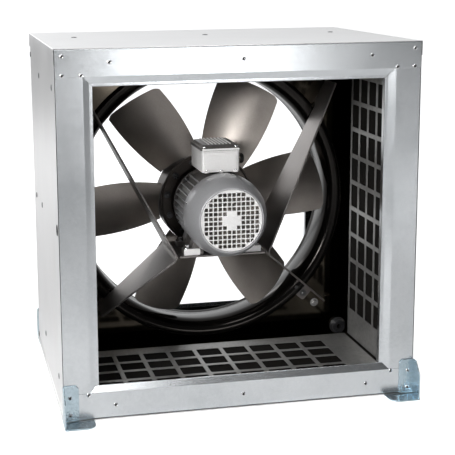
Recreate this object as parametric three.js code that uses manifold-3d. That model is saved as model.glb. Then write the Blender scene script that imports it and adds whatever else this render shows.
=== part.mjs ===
// Cased inline duct fan: square lined box, bellmouth ring, foot-mounted motor and six-blade impeller.
// Millimetres, +Z up, inlet (motor side) towards -Y, origin under the middle of the box.
import * as THREE from 'three';
import { mergeVertices } from 'three/addons/utils/BufferGeometryUtils.js';
import Module from 'manifold-3d';

// ---- casing ----
const BOX_W = 750;
const BOX_D = 545;
const SKIN_T = 1.2;
const GAP = 0.3;
const HALF = BOX_W / 2;
const CORE_HALF = HALF - SKIN_T - 0.4;

// ---- end frames (folded sheet members) ----
const FRAME_T = 1.5;
const FRAME_FLAT = 56;
const FRAME_SLOPE_END = 69;
const FRAME_SLOPE_DEPTH = 8.5;
const FRAME_OPENING = 76;
const FRAME_RETURN = 22;
const FRAME_HEM = 3;
const MITRE_GAP = 0.25;

// ---- lining ----
const LINER_HALF = 319;
const LINER_T = 1.2;
const LINER_FRONT = 12;
const LINER_REAR = 258;
const LINER_LIP = 14;
const LINING_FRONT = 24;
const REAR_LINING_START = 349;
const HOLE_ALONG = 51;
const HOLE_PITCH = 60.4;
const FLOOR_ROWS = { first: 36, pitch: 54, count: 4, depth: 44, columns: 9, shift: -26 };
const WALL_ROWS = { first: 78, pitch: 50.4, count: 4, depth: 41.5, columns: 9, shift: 11 };

// ---- bulkhead and bellmouth ----
const AXIS_Z = HALF;
const PLATE_FRONT = 344;
const PLATE_T = 2;
const PLATE_HOLE_R = 312;
const PLATE_FLANGE = 25;
const GROMMET = { x: 324, z: 49, hole: 12, bore: 6, reach: 16, nose: 2, collar: 8, collarT: 6, tail: 2 };
const RING_T = 2;
const THROAT_R = 291;
const THROAT_START = 366;
const RING_REAR = 424;
const BELL_RADIAL = 29;
const BELL_AXIAL = 33;
const BEAD_R = 7;

// ---- impeller ----
const BLADE_COUNT = 6;
const BLADE_PHASE = 5.9;
const TIP_R = 283;
const HUB_R = 108;
const HUB_FRONT = 327;
const HUB_REAR = 390;
const HUB_MIDDLE = (HUB_FRONT + HUB_REAR) / 2;
const HUB_PROFILE = {
  rimT: 5, fillet: 4, webBack: 8, webT: 7, bossR: 28, noseR: 26, noseFront: 14, noseRear: 20,
};
const CLAMP_DISC = { r: 22, t: 4, clearance: 1 };
const BLADE_FRONT = 334;
const BLADE_REAR_ROOT = 395;
const BLADE_REAR_TIP = 409;
const BLADE_ROOT_GAP = 0.6;
const BLADE_LEADING = { root: -27.9, sweep: 14.9, power: 0.85 };
const BLADE_TRAILING = { root: 23.1, sweep: -10 };
const BLADE_CAMBER = 13;
const BLADE_T = 5;

// ---- motor ----
const SHAFT_R = 12;
const COWL_FRONT = 94;
const COWL_REAR = 175.6;
const COWL_R = 88.5;
const GRILLE_R = 66.5;
const BODY_FRONT = 176;
const BODY_REAR = 286;
const BODY_R = 78;
const FIN_R = 86;
const BORE_R = 66;
const FIN_COUNT = 30;
const FOOT_Z = AXIS_Z - 90;
const BEARING_R = 26;
const BEARING_W = 14;
const BEARING_Y = { driveEnd: BODY_REAR + 3, fanEnd: BODY_FRONT - 16 };
const DRIVE_SHIELD = {
  rimR: FIN_R - 2, faceR: 74, coneR: 44, bossR: 34, rim: 10, face: 12, cone: 14, boss: 19,
};
const FAN_SHIELD = { rimR: FIN_R - 4, coneR: 44, bossR: 34, rim: 9, cone: 12, boss: 17 };
const SHAFT = { start: COWL_FRONT + 26, neck: 2, shoulder: BODY_FRONT - 20, end: HUB_REAR - 26 };
const WINDING = { inner: 41, slot: 43.6, outer: 62, head: 13.6, front: BODY_FRONT + 8, back: BODY_REAR - 4 };
const CORE = { bore: 44, cage: 40, slack: 0.5, front: BODY_FRONT + 22, back: BODY_REAR - 18 };
const MOTOR_FOOT = { inner: 42, outer: 85, length: 30, thick: 12, webInner: 46, webOuter: 62, webTop: 52 };
const COOLING_FAN = { front: 30, back: 56, hub: 20, rim: 78, disc: 4, vanes: 8, vaneT: 3 };
const GRILLE_HOLE = { pitch: 20, size: 15, reach: 2 };
const GRILLE_T = 2;
const COWL_T = 2;
// Radius and distance behind the front edge.
const COWL_PROFILE = [
  [GRILLE_R + 0.5, 0], [70, 0], [76, 10], [82.5, 25], [87, 41], [COWL_R, 56], [COWL_R, COWL_REAR - COWL_FRONT],
];
const BOX_HALF_X = 42;
const BOX_Y0 = 190;
const BOX_Y1 = 300;
const BOX_Z0 = 461.8;
const BOX_Z1 = 509;
const ENTRY = { r: 8, y: BOX_Y0 + 32, z: BOX_Z0 + 24 };
const BOX_FLOOR = 4;
const BOX_WALL = 3;
const LID = { depth: 8, edge: 3, overhang: 2 };
const LID_RIB = { width: 6, height: 5, tilt: 0.5, up: 13, inset: 8 };
const GLAND = { bore: 5, slack: 0.4, nut: 14, cap: 11, tail: 8, nutLength: 9, length: 16 };
const BOARD = { halfX: 26, halfY: 16, t: 9, studs: [-16, 0, 16], studOffset: 8, studR: 3, studLength: 12 };

// ---- motor support ----
const ARM_T = 4;
const ARM_VERTEX = { x: 98, z: 279 };
const ARM_TOP = { x: 286, z: 640 };
const ARM_BOTTOM = { x: 256, z: 139 };
const ARM_FRONT = 167;
const ARM_REAR = 329;
const ARM_RISE = 0.29;
const ARM_FALL = 0.54;
const ARM_OVERRUN = 20;
const ARM_TAB = { width: 30, length: 46 };
const RING_CLEAR_R = 331;
const CRADLE_T = 4;

// ---- feet ----
const FOOT_T = 3;
const FOOT_FLANGE_W = 33;
const FOOT_FLANGE_H = 76;
const FOOT_WING = 38;
const FOOT_BASE_W = 64;
const FOOT_BASE_OUT = 42;
const FOOT_BASE_IN = 28;
const FOOT_CORNER_R = 22;
const FOOT_WING_STEP = { out: 16, up: 52 };

const wasm = await Module();
wasm.setup();

const ALONG_Y = new THREE.Matrix4().makeRotationX(Math.PI / 2);
const ALONG_X = new THREE.Matrix4().makeBasis(
  new THREE.Vector3(0, 1, 0),
  new THREE.Vector3(0, 0, 1),
  new THREE.Vector3(1, 0, 0),
);
const PLAIN_EDGES = { bevelEnabled: false, curveSegments: 8 };
const TURN_TO_X = new THREE.Matrix4().makeRotationZ(-Math.PI / 2);
const TURN_TO_Z = new THREE.Matrix4().makeRotationX(Math.PI / 2);

// ---------- shared helpers ----------

// One welded, outward-facing surface from any three.js geometry.
function welded(geometry) {
  const bare = geometry.clone();
  bare.deleteAttribute('normal');
  bare.deleteAttribute('uv');
  const merged = mergeVertices(bare, 1e-4);
  const source = merged.index.array;
  const kept = [];
  for (let i = 0; i < source.length; i += 3) {
    const [a, b, c] = [source[i], source[i + 1], source[i + 2]];
    if (a !== b && b !== c && c !== a) kept.push(a, b, c);
  }
  if (signedVolume(merged.attributes.position, kept) < 0) kept.reverse();
  merged.setIndex(kept);
  return merged;
}

function signedVolume(position, index) {
  const [a, b, c] = [new THREE.Vector3(), new THREE.Vector3(), new THREE.Vector3()];
  let total = 0;
  for (let i = 0; i < index.length; i += 3) {
    a.fromBufferAttribute(position, index[i]);
    b.fromBufferAttribute(position, index[i + 1]);
    c.fromBufferAttribute(position, index[i + 2]);
    total += a.dot(b.cross(c));
  }
  return total;
}

function toSolid(geometry) {
  const clean = welded(geometry);
  const mesh = new wasm.Mesh({
    numProp: 3,
    vertProperties: new Float32Array(clean.attributes.position.array),
    triVerts: new Uint32Array(clean.index.array),
  });
  return new wasm.Manifold(mesh);
}

function fromSolid(solid) {
  const mesh = solid.getMesh();
  const geometry = new THREE.BufferGeometry();
  geometry.setAttribute('position', new THREE.BufferAttribute(mesh.vertProperties, 3));
  geometry.setIndex(new THREE.BufferAttribute(mesh.triVerts, 1));
  return geometry;
}

function joined(...geometries) {
  return fromSolid(geometries.map(toSolid).reduce((sum, next) => sum.add(next)));
}

function cut(geometry, ...tools) {
  return fromSolid(tools.map(toSolid).reduce((left, tool) => left.subtract(tool), toSolid(geometry)));
}

function common(first, second) {
  return fromSolid(toSolid(first).intersect(toSolid(second)));
}

function shapeOf(points) {
  return new THREE.Shape(points.map(([x, y]) => new THREE.Vector2(x, y)));
}

function rectangle(x0, x1, y0, y1) {
  return [[x0, y0], [x1, y0], [x1, y1], [x0, y1]];
}

// Outline in (x, z), thickness from y0 to y1.
function plateY(shape, y0, y1) {
  const geometry = new THREE.ExtrudeGeometry(shape, { ...PLAIN_EDGES, depth: y1 - y0 });
  return geometry.applyMatrix4(ALONG_Y).translate(0, y1, 0);
}

// Outline in (y, z), thickness from x0 to x1.
function plateX(shape, x0, x1) {
  const geometry = new THREE.ExtrudeGeometry(shape, { ...PLAIN_EDGES, depth: x1 - x0 });
  return geometry.applyMatrix4(ALONG_X).translate(x0, 0, 0);
}

// Outline in (x, y), thickness from z0 to z1.
function plateZ(shape, z0, z1) {
  const geometry = new THREE.ExtrudeGeometry(shape, { ...PLAIN_EDGES, depth: z1 - z0 });
  return geometry.translate(0, 0, z0);
}

function block(x0, x1, y0, y1, z0, z1) {
  const geometry = new THREE.BoxGeometry(x1 - x0, y1 - y0, z1 - z0);
  return geometry.translate((x0 + x1) / 2, (y0 + y1) / 2, (z0 + z1) / 2);
}

// Turned piece about the fan axis, from a closed profile of [radius, y] points.
function turned(profile, segments) {
  const points = [...profile, profile[0]].map(([r, y]) => new THREE.Vector2(r, y));
  return new THREE.LatheGeometry(points, segments).translate(0, 0, AXIS_Z);
}

// Closed outline of a folded sheet: the path and its copy moved sideways by the thickness.
function foldedOutline(path, thickness) {
  const normals = [];
  for (let i = 0; i + 1 < path.length; i += 1) {
    const [dx, dy] = [path[i + 1][0] - path[i][0], path[i + 1][1] - path[i][1]];
    const length = Math.hypot(dx, dy);
    normals.push([-dy / length, dx / length]);
  }
  const moved = path.map(([x, y], i) => {
    const before = normals[Math.max(i - 1, 0)];
    const after = normals[Math.min(i, normals.length - 1)];
    const scale = thickness / (1 + before[0] * after[0] + before[1] * after[1]);
    return [x + (before[0] + after[0]) * scale, y + (before[1] + after[1]) * scale];
  });
  return [...path, ...moved.reverse()];
}

function finish(color, roughness, metalness) {
  return { color, roughness, metalness };
}

const GALVANISED = finish(0xc4c9cc, 0.42, 0.85);
const ZINC = finish(0xb9c4cf, 0.3, 0.9);
const DARK_FOAM = finish(0x17181a, 0.95, 0);
const LINER_STEEL = finish(0x6e7174, 0.5, 0.7);
const BLACK_STEEL = finish(0x2a2826, 0.4, 0.4);
const WARM_STEEL = finish(0x8a8480, 0.42, 0.6);
const BLADE_ALLOY = finish(0x6f6963, 0.45, 0.6);
const MOTOR_PAINT = finish(0x3e4144, 0.5, 0.3);
const COWL_PAINT = finish(0x6f7275, 0.45, 0.4);
const GRILLE_PAINT = finish(0xd0d2d3, 0.5, 0.2);
const CORE_STEEL = finish(0x77797c, 0.6, 0.7);
const COPPER = finish(0xb06a3a, 0.4, 0.8);
const RUBBER = finish(0x121212, 0.85, 0);
const POLYMER = finish(0x1d1e20, 0.6, 0);

function piece(name, geometry, look) {
  const mesh = new THREE.Mesh(welded(geometry), new THREE.MeshStandardMaterial(look));
  mesh.geometry.computeVertexNormals();
  mesh.name = name;
  return mesh;
}

// ---------- casing ----------

function casingSkins() {
  const side = rectangle(0, BOX_D, SKIN_T + GAP, BOX_W - SKIN_T - GAP);
  return [
    piece('casing_top_panel', block(-HALF, HALF, 0, BOX_D, BOX_W - SKIN_T, BOX_W), GALVANISED),
    piece('casing_bottom_panel', block(-HALF, HALF, 0, BOX_D, 0, SKIN_T), GALVANISED),
    piece('casing_left_panel', plateX(shapeOf(side), -HALF, -HALF + SKIN_T), GALVANISED),
    piece('casing_right_panel', plateX(shapeOf(side), HALF - SKIN_T, HALF), GALVANISED),
  ];
}

// Section of an end-frame member: u runs inwards from the outer skin, v into the box.
// The bottom one ends in a short hem, low enough to leave the floor lining in view.
function memberSection(isSill) {
  const outer = HALF - CORE_HALF;
  const path = [[outer, FRAME_RETURN], [outer, 0], [FRAME_FLAT, 0], [FRAME_SLOPE_END, FRAME_SLOPE_DEPTH]];
  const hem = [[FRAME_SLOPE_END, FRAME_SLOPE_DEPTH + FRAME_HEM]];
  const ledge = [[FRAME_OPENING, FRAME_SLOPE_DEPTH], [FRAME_OPENING, FRAME_RETURN]];
  return foldedOutline([...path, ...(isSill ? hem : ledge)], FRAME_T);
}

// Front-view outline of a full-width member, mitred where it slopes, [x, z] from the bottom edge.
function railOutline() {
  const [flat, inner] = [HALF - FRAME_FLAT - MITRE_GAP, HALF - FRAME_OPENING - MITRE_GAP];
  return [
    [-CORE_HALF, 0], [CORE_HALF, 0], [CORE_HALF, FRAME_FLAT], [flat, FRAME_FLAT],
    [inner, FRAME_OPENING], [-inner, FRAME_OPENING], [-flat, FRAME_FLAT], [-CORE_HALF, FRAME_FLAT],
  ];
}

// Front-view outline of an upright between the rails, [x, z].
function stileOutline() {
  const [low, high] = [FRAME_FLAT + MITRE_GAP, BOX_W - FRAME_FLAT - MITRE_GAP];
  const [sill, innerHigh] = [FRAME_SLOPE_END + MITRE_GAP, BOX_W - FRAME_OPENING - MITRE_GAP];
  return [
    [-HALF, low], [-HALF + FRAME_FLAT, low], [-HALF + FRAME_SLOPE_END, sill], [-HALF + FRAME_OPENING, sill],
    [-HALF + FRAME_OPENING, innerHigh], [-HALF + FRAME_FLAT, high], [-HALF, high],
  ];
}

function mirrored(points, flipX, flipZ) {
  return points.map(([x, z]) => [flipX ? -x : x, flipZ ? BOX_W - z : z]);
}

function frameRail(atTop, atRear) {
  const section = memberSection(!atTop).map(([u, v]) => [atRear ? BOX_D - v : v, atTop ? BOX_W - u : u]);
  const bar = plateX(shapeOf(section), -CORE_HALF, CORE_HALF);
  const outline = mirrored(railOutline(), false, atTop);
  return common(bar, plateY(shapeOf(outline), -1, BOX_D + 1));
}

function frameStile(atRight, atRear) {
  const section = memberSection(false).map(([u, v]) => [
    atRight ? HALF - u : u - HALF,
    atRear ? BOX_D - v : v,
  ]);
  const bar = plateZ(shapeOf(section), 0, BOX_W);
  const outline = mirrored(stileOutline(), atRight, false);
  return common(bar, plateY(shapeOf(outline), -1, BOX_D + 1));
}

function endFrame(atRear) {
  const end = atRear ? 'rear' : 'front';
  return [
    piece(`${end}_frame_top_rail`, frameRail(true, atRear), GALVANISED),
    piece(`${end}_frame_bottom_rail`, frameRail(false, atRear), GALVANISED),
    piece(`${end}_frame_left_stile`, frameStile(false, atRear), GALVANISED),
    piece(`${end}_frame_right_stile`, frameStile(true, atRear), GALVANISED),
  ];
}

// ---------- lining ----------

// Thickness of the lining from the casing core to just behind its face.
function liningBoards(name, y0, y1, face) {
  const low = HALF - CORE_HALF;
  const top = HALF - face;
  const boards = {
    bottom: block(-CORE_HALF, CORE_HALF, y0, y1, low, top),
    top: block(-CORE_HALF, CORE_HALF, y0, y1, BOX_W - top, BOX_W - low),
    left: block(-CORE_HALF, -face, y0, y1, top + GAP, BOX_W - top - GAP),
    right: block(face, CORE_HALF, y0, y1, top + GAP, BOX_W - top - GAP),
  };
  return Object.entries(boards).map(([side, board]) => piece(`${name}_${side}_board`, board, DARK_FOAM));
}

// Sheet with a grid of slots, lying flat between z0 and z0 + thickness.
function slottedSheet(halfAlong, rows, z0) {
  const slots = [];
  for (let row = 0; row < rows.count; row += 1) {
    for (let column = 0; column < rows.columns; column += 1) {
      const along = rows.shift + (column - (rows.columns - 1) / 2) * HOLE_PITCH;
      const depth = rows.first + row * rows.pitch;
      const [dx, dy] = [HOLE_ALONG / 2, rows.depth / 2];
      slots.push(block(along - dx, along + dx, depth - dy, depth + dy, z0 - 1, z0 + LINER_T + 1));
    }
  }
  return cut(block(-halfAlong, halfAlong, LINER_FRONT, LINER_REAR, z0, z0 + LINER_T), ...slots);
}

// Floor or ceiling liner with its rear edge folded back towards the skin.
function flatLiner(atTop) {
  const half = LINER_HALF + LINER_T;
  const z0 = HALF - LINER_HALF - LINER_T;
  const sheet = slottedSheet(half, FLOOR_ROWS, z0);
  const lip = block(-half, half, LINER_REAR, LINER_REAR + LINER_T, z0 - LINER_LIP, z0 + LINER_T);
  const liner = joined(sheet, lip);
  return atTop ? liner.applyMatrix4(new THREE.Matrix4().makeScale(1, 1, -1)).translate(0, 0, BOX_W) : liner;
}

// Side liner, drawn lying down as [z, y] and stood up against the lining.
function sideLiner(atRight) {
  const half = LINER_HALF - GAP;
  const [x0, x1] = [-LINER_HALF - LINER_T, -LINER_HALF];
  const sheet = slottedSheet(half, WALL_ROWS, x0);
  const lip = block(-half, half, LINER_REAR, LINER_REAR + LINER_T, x0 - LINER_LIP, x1);
  const stand = new THREE.Matrix4().makeBasis(
    new THREE.Vector3(0, 0, 1),
    new THREE.Vector3(0, 1, 0),
    new THREE.Vector3(1, 0, 0),
  );
  const liner = joined(sheet, lip).applyMatrix4(stand).translate(0, 0, AXIS_Z);
  return atRight ? liner.applyMatrix4(new THREE.Matrix4().makeScale(-1, 1, 1)) : liner;
}

function lining() {
  return [
    ...liningBoards('front_lining', LINING_FRONT, LINER_REAR - GAP, LINER_HALF + LINER_T + GAP),
    ...liningBoards('rear_lining', REAR_LINING_START, BOX_D - LINING_FRONT, LINER_HALF),
    piece('perforated_liner_bottom', flatLiner(false), LINER_STEEL),
    piece('perforated_liner_top', flatLiner(true), LINER_STEEL),
    piece('perforated_liner_left', sideLiner(false), LINER_STEEL),
    piece('perforated_liner_right', sideLiner(true), LINER_STEEL),
  ];
}

// ---------- bulkhead and bellmouth ----------

function bulkheadPlate() {
  const low = HALF - CORE_HALF;
  const outline = shapeOf(rectangle(-CORE_HALF, CORE_HALF, low, BOX_W - low));
  outline.holes.push(new THREE.Path().absarc(0, AXIS_Z, PLATE_HOLE_R, 0, Math.PI * 2));
  outline.holes.push(new THREE.Path().absarc(GROMMET.x, GROMMET.z, GROMMET.hole, 0, Math.PI * 2));
  const settings = { depth: PLATE_T, bevelEnabled: false, curveSegments: 24 };
  const plate = new THREE.ExtrudeGeometry(outline, settings).applyMatrix4(ALONG_Y);
  plate.translate(0, PLATE_FRONT + PLATE_T, 0);
  return joined(plate, ...bulkheadFlanges());
}

function bulkheadFlanges() {
  const [y0, y1] = [PLATE_FRONT - PLATE_FLANGE, PLATE_FRONT + PLATE_T];
  const [low, high] = [HALF - CORE_HALF, BOX_W - HALF + CORE_HALF];
  return [
    block(-CORE_HALF, CORE_HALF, y0, y1, low, low + PLATE_T),
    block(-CORE_HALF, CORE_HALF, y0, y1, high - PLATE_T, high),
    block(-CORE_HALF, -CORE_HALF + PLATE_T, y0, y1, low, high),
    block(CORE_HALF - PLATE_T, CORE_HALF, y0, y1, low, high),
  ];
}

// Sleeve through the bulkhead with a collar in front of it.
function cableGrommet() {
  const { x, z, hole, bore, reach, nose, collar, collarT, tail } = GROMMET;
  const [face, back] = [PLATE_FRONT - GAP, PLATE_FRONT + PLATE_T + tail];
  const profile = [
    [bore, PLATE_FRONT - reach], [hole + nose, PLATE_FRONT - reach], [hole + collar, face - collarT],
    [hole + collar, face], [hole - GAP, face], [hole - GAP, back], [bore, back],
  ];
  return turned(profile, 16).translate(x, 0, z - AXIS_Z);
}

// Inlet bell: rolled edge, quarter-ellipse flare, then the plain throat around the blades.
function bellmouthRing() {
  const path = [];
  const lipY = THROAT_START - BELL_AXIAL;
  const lipR = THROAT_R + BELL_RADIAL;
  path.push([lipR + BEAD_R, lipY + BEAD_R + 3]);
  for (const step of [0, 1, 2]) {
    const a = (step / 2) * (Math.PI / 2);
    path.push([lipR + BEAD_R * Math.cos(a), lipY + BEAD_R - BEAD_R * Math.sin(a)]);
  }
  const flareSteps = 4;
  for (let step = 1; step <= flareSteps; step += 1) {
    const a = (1 - step / flareSteps) * (Math.PI / 2);
    path.push([lipR - BELL_RADIAL * Math.cos(a), THROAT_START - BELL_AXIAL * Math.sin(a)]);
  }
  path.push([THROAT_R, RING_REAR]);
  return turned(foldedOutline(path, -RING_T), 48);
}

// ---------- motor support ----------

function cradlePlate() {
  const reach = ARM_VERTEX.x - 1;
  const top = FOOT_Z - GAP;
  return block(-reach, reach, ARM_FRONT + 3, ARM_REAR - 13, top - CRADLE_T, top);
}

// Side view of the tapering strips, [y, z].
function armTaper() {
  const deep = PLATE_FRONT - GAP;
  const [high, low] = [ARM_TOP.z + ARM_OVERRUN, ARM_BOTTOM.z - ARM_OVERRUN];
  return [
    [ARM_FRONT, ARM_VERTEX.z],
    [ARM_FRONT + ARM_RISE * (high - ARM_VERTEX.z), high],
    [deep, high],
    [deep, low],
    [ARM_FRONT + ARM_FALL * (ARM_VERTEX.z - low), low],
  ];
}

// Fixing tab folded against the bulkhead along the outer part of a strip.
function armTab(end, towards, overlap) {
  const angle = Math.atan2(end.z - towards.z, end.x - towards.x);
  const deep = PLATE_FRONT - GAP;
  const tab = block(-ARM_TAB.length, 0, deep - ARM_T, deep, -ARM_TAB.width, overlap);
  tab.rotateY(-angle);
  return tab.translate(end.x, 0, end.z);
}

function motorArm() {
  const path = [ARM_TOP, ARM_VERTEX, ARM_BOTTOM].map(({ x, z }) => [x, z]);
  const strip = plateY(shapeOf(foldedOutline(path, ARM_T)), ARM_FRONT, PLATE_FRONT - GAP);
  const tapered = common(strip, plateX(shapeOf(armTaper()), 0, HALF));
  const clearBlades = turned(rectangle(0, RING_CLEAR_R, ARM_REAR, PLATE_FRONT + 1), 60);
  const tabs = [armTab(ARM_TOP, ARM_VERTEX, 0), armTab(ARM_BOTTOM, ARM_VERTEX, ARM_T)];
  return cut(joined(tapered, ...tabs), clearBlades);
}

function motorSupport() {
  const flip = new THREE.Matrix4().makeScale(-1, 1, 1);
  return [
    piece('motor_cradle_plate', cradlePlate(), WARM_STEEL),
    piece('motor_arm_right', motorArm(), WARM_STEEL),
    piece('motor_arm_left', motorArm().applyMatrix4(flip), WARM_STEEL),
  ];
}

// ---------- motor ----------

function finnedOutline() {
  const points = [];
  for (let fin = 0; fin < FIN_COUNT; fin += 1) {
    const centre = (fin * 2 * Math.PI) / FIN_COUNT;
    for (const [radius, offset] of [[BODY_R, -0.024], [FIN_R, -0.015], [FIN_R, 0.015], [BODY_R, 0.024]]) {
      points.push([radius * Math.cos(centre + offset), AXIS_Z + radius * Math.sin(centre + offset)]);
    }
  }
  return points;
}

// Four ground pads, each with a web up to the body.
function motorFeet() {
  const { inner, outer, length, thick, webInner, webOuter, webTop } = MOTOR_FOOT;
  const parts = [];
  for (const y0 of [BODY_FRONT + 2, BODY_REAR - 4 - length]) {
    const y1 = y0 + length;
    parts.push(block(inner, outer, y0, y1, FOOT_Z, FOOT_Z + thick));
    parts.push(block(-outer, -inner, y0, y1, FOOT_Z, FOOT_Z + thick));
    parts.push(block(webInner, webOuter, y0, y1, FOOT_Z + thick / 2, AXIS_Z - webTop));
    parts.push(block(-webOuter, -webInner, y0, y1, FOOT_Z + thick / 2, AXIS_Z - webTop));
  }
  return parts;
}

function motorFrame() {
  const outline = shapeOf(finnedOutline());
  outline.holes.push(new THREE.Path().absarc(0, AXIS_Z, BORE_R, 0, Math.PI * 2));
  const body = new THREE.ExtrudeGeometry(outline, {
    depth: BODY_REAR - BODY_FRONT,
    bevelEnabled: false,
    curveSegments: 12,
  });
  body.applyMatrix4(ALONG_Y).translate(0, BODY_REAR, 0);
  return joined(body, ...motorFeet());
}

function driveEndShield() {
  const { rimR, faceR, coneR, bossR, rim, face, cone, boss } = DRIVE_SHIELD;
  const [y, bore] = [BODY_REAR + GAP, BEARING_R + GAP];
  return turned([
    [bore, y], [rimR, y], [rimR, y + rim], [faceR, y + face], [coneR, y + cone], [bossR, y + boss],
    [bore, y + boss],
  ], 24);
}

function fanEndShield() {
  const { rimR, coneR, bossR, rim, cone, boss } = FAN_SHIELD;
  const [y, bore] = [BODY_FRONT - GAP, BEARING_R + GAP];
  return turned([
    [bore, y], [rimR, y], [rimR, y - rim], [coneR, y - cone], [bossR, y - boss], [bore, y - boss],
  ], 24);
}

function bearing(y0) {
  return turned(rectangle(SHAFT_R + GAP, BEARING_R, y0, y0 + BEARING_W), 24);
}

function fanCowl() {
  const path = COWL_PROFILE.map(([radius, behind]) => [radius, COWL_FRONT + behind]);
  return turned(foldedOutline(path, COWL_T), 32);
}

function cowlGrille() {
  const front = COWL_FRONT + 1;
  const back = front + GRILLE_T;
  const disc = turned(rectangle(0, GRILLE_R, front, back), 32);
  const { pitch, size, reach } = GRILLE_HOLE;
  const half = size / 2;
  const holes = [];
  for (let i = -reach; i <= reach; i += 1) {
    for (let j = -reach; j <= reach; j += 1) {
      const away = Math.hypot(i, j);
      const [x, z] = [i * pitch, AXIS_Z + j * pitch];
      const isInDisc = away > 0 && away < reach + 0.5;
      if (isInDisc) holes.push(block(x - half, x + half, front - 1, back + 1, z - half, z + half));
    }
  }
  return cut(disc, ...holes);
}

function coolingFan() {
  const { hub, rim, disc, vaneT } = COOLING_FAN;
  const [front, back] = [COWL_FRONT + COOLING_FAN.front, COWL_FRONT + COOLING_FAN.back];
  const bore = SHAFT_R - SHAFT.neck;
  const body = turned([
    [bore, front], [hub, front], [hub, back - disc], [rim, back - disc], [rim, back], [bore, back],
  ], 24);
  const vanes = [];
  for (let i = 0; i < COOLING_FAN.vanes; i += 1) {
    const vane = block(hub - 2, rim - 2, front + 2, back - 2, -vaneT / 2, vaneT / 2);
    vanes.push(vane.rotateY((i * 2 * Math.PI) / COOLING_FAN.vanes).translate(0, 0, AXIS_Z));
  }
  return joined(body, ...vanes);
}

function shaft() {
  const { start, neck, shoulder, end } = SHAFT;
  const thin = SHAFT_R - neck - GAP;
  return turned([
    [0, start], [thin, start], [thin, shoulder], [SHAFT_R, shoulder], [SHAFT_R, end], [0, end],
  ], 24);
}

function windings() {
  const { inner, slot, outer, head, front, back } = WINDING;
  return turned([
    [inner, front], [outer, front], [outer, front + head], [slot, front + head], [slot, back - head],
    [outer, back - head], [outer, back], [inner, back],
  ], 24);
}

function motorInsides() {
  const core = turned(rectangle(CORE.bore, BORE_R - GAP - CORE.slack, CORE.front, CORE.back), 32);
  const cage = turned(rectangle(SHAFT_R + GAP, CORE.cage, CORE.front, CORE.back), 24);
  return [
    piece('stator_core', core, CORE_STEEL),
    piece('stator_winding', windings(), COPPER),
    piece('rotor_core', cage, CORE_STEEL),
  ];
}

function terminalBoxBase() {
  const outer = block(-BOX_HALF_X, BOX_HALF_X, BOX_Y0, BOX_Y1, BOX_Z0, BOX_Z1);
  const [x, y0, y1] = [BOX_HALF_X - BOX_WALL, BOX_Y0 + BOX_WALL, BOX_Y1 - BOX_WALL];
  const inside = block(-x, x, y0, y1, BOX_Z0 + BOX_FLOOR, BOX_Z1 + 1);
  const entry = new THREE.CylinderGeometry(ENTRY.r, ENTRY.r, BOX_WALL * 6, 16).applyMatrix4(TURN_TO_X);
  entry.translate(BOX_HALF_X, ENTRY.y, ENTRY.z);
  return cut(outer, inside, entry);
}

function terminalBoxLid() {
  const shape = shapeOf(rectangle(-BOX_HALF_X, BOX_HALF_X, BOX_Y0, BOX_Y1));
  const { depth, edge, overhang } = LID;
  const bevel = { bevelThickness: edge, bevelSize: edge, bevelOffset: overhang - edge, bevelSegments: 2 };
  const lid = new THREE.ExtrudeGeometry(shape, { ...bevel, depth }).translate(0, 0, BOX_Z1 + edge + GAP);
  const { width, height, tilt, up, inset } = LID_RIB;
  const ribs = [-1, 1].map((side) => {
    const rib = new THREE.BoxGeometry(width, BOX_Y1 - BOX_Y0 - inset, height).rotateZ(side * tilt);
    return rib.translate(0, (BOX_Y0 + BOX_Y1) / 2, BOX_Z1 + up);
  });
  return joined(lid, ...ribs);
}

function boxGland() {
  const { bore, slack, nut, cap, tail, nutLength, length } = GLAND;
  const [start, neck] = [BOX_HALF_X + GAP, ENTRY.r - slack];
  const points = [
    [bore, start - tail], [neck, start - tail], [neck, start], [nut, start], [nut, start + nutLength],
    [cap, start + length], [bore, start + length], [bore, start - tail],
  ];
  const gland = new THREE.LatheGeometry(points.map(([r, x]) => new THREE.Vector2(r, x)), 16);
  return gland.applyMatrix4(TURN_TO_X).translate(0, ENTRY.y, ENTRY.z);
}

function terminalBoard() {
  const y = (BOX_Y0 + BOX_Y1) / 2;
  const z = BOX_Z0 + BOX_FLOOR + GAP;
  const { halfX, halfY, t, studOffset, studR, studLength } = BOARD;
  const board = block(-halfX, halfX, y - halfY, y + halfY, z, z + t);
  const studs = [];
  for (const x of BOARD.studs) {
    for (const dy of [-studOffset, studOffset]) {
      const stud = new THREE.CylinderGeometry(studR, studR, studLength, 8).applyMatrix4(TURN_TO_Z);
      studs.push(stud.translate(x, y + dy, z + t + studLength / 3));
    }
  }
  return joined(board, ...studs);
}

function motor() {
  return [
    piece('motor_frame', motorFrame(), MOTOR_PAINT),
    piece('motor_drive_end_shield', driveEndShield(), MOTOR_PAINT),
    piece('motor_fan_end_shield', fanEndShield(), MOTOR_PAINT),
    piece('motor_bearing_drive_end', bearing(BEARING_Y.driveEnd), ZINC),
    piece('motor_bearing_fan_end', bearing(BEARING_Y.fanEnd), ZINC),
    piece('motor_fan_cowl', fanCowl(), COWL_PAINT),
    piece('motor_cowl_grille', cowlGrille(), GRILLE_PAINT),
    piece('motor_cooling_fan', coolingFan(), POLYMER),
    piece('motor_shaft', shaft(), ZINC),
    ...motorInsides(),
    piece('terminal_box_base', terminalBoxBase(), GRILLE_PAINT),
    piece('terminal_box_lid', terminalBoxLid(), MOTOR_PAINT),
    piece('terminal_box_gland', boxGland(), POLYMER),
    piece('terminal_board', terminalBoard(), POLYMER),
  ];
}

// ---------- impeller ----------

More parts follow.
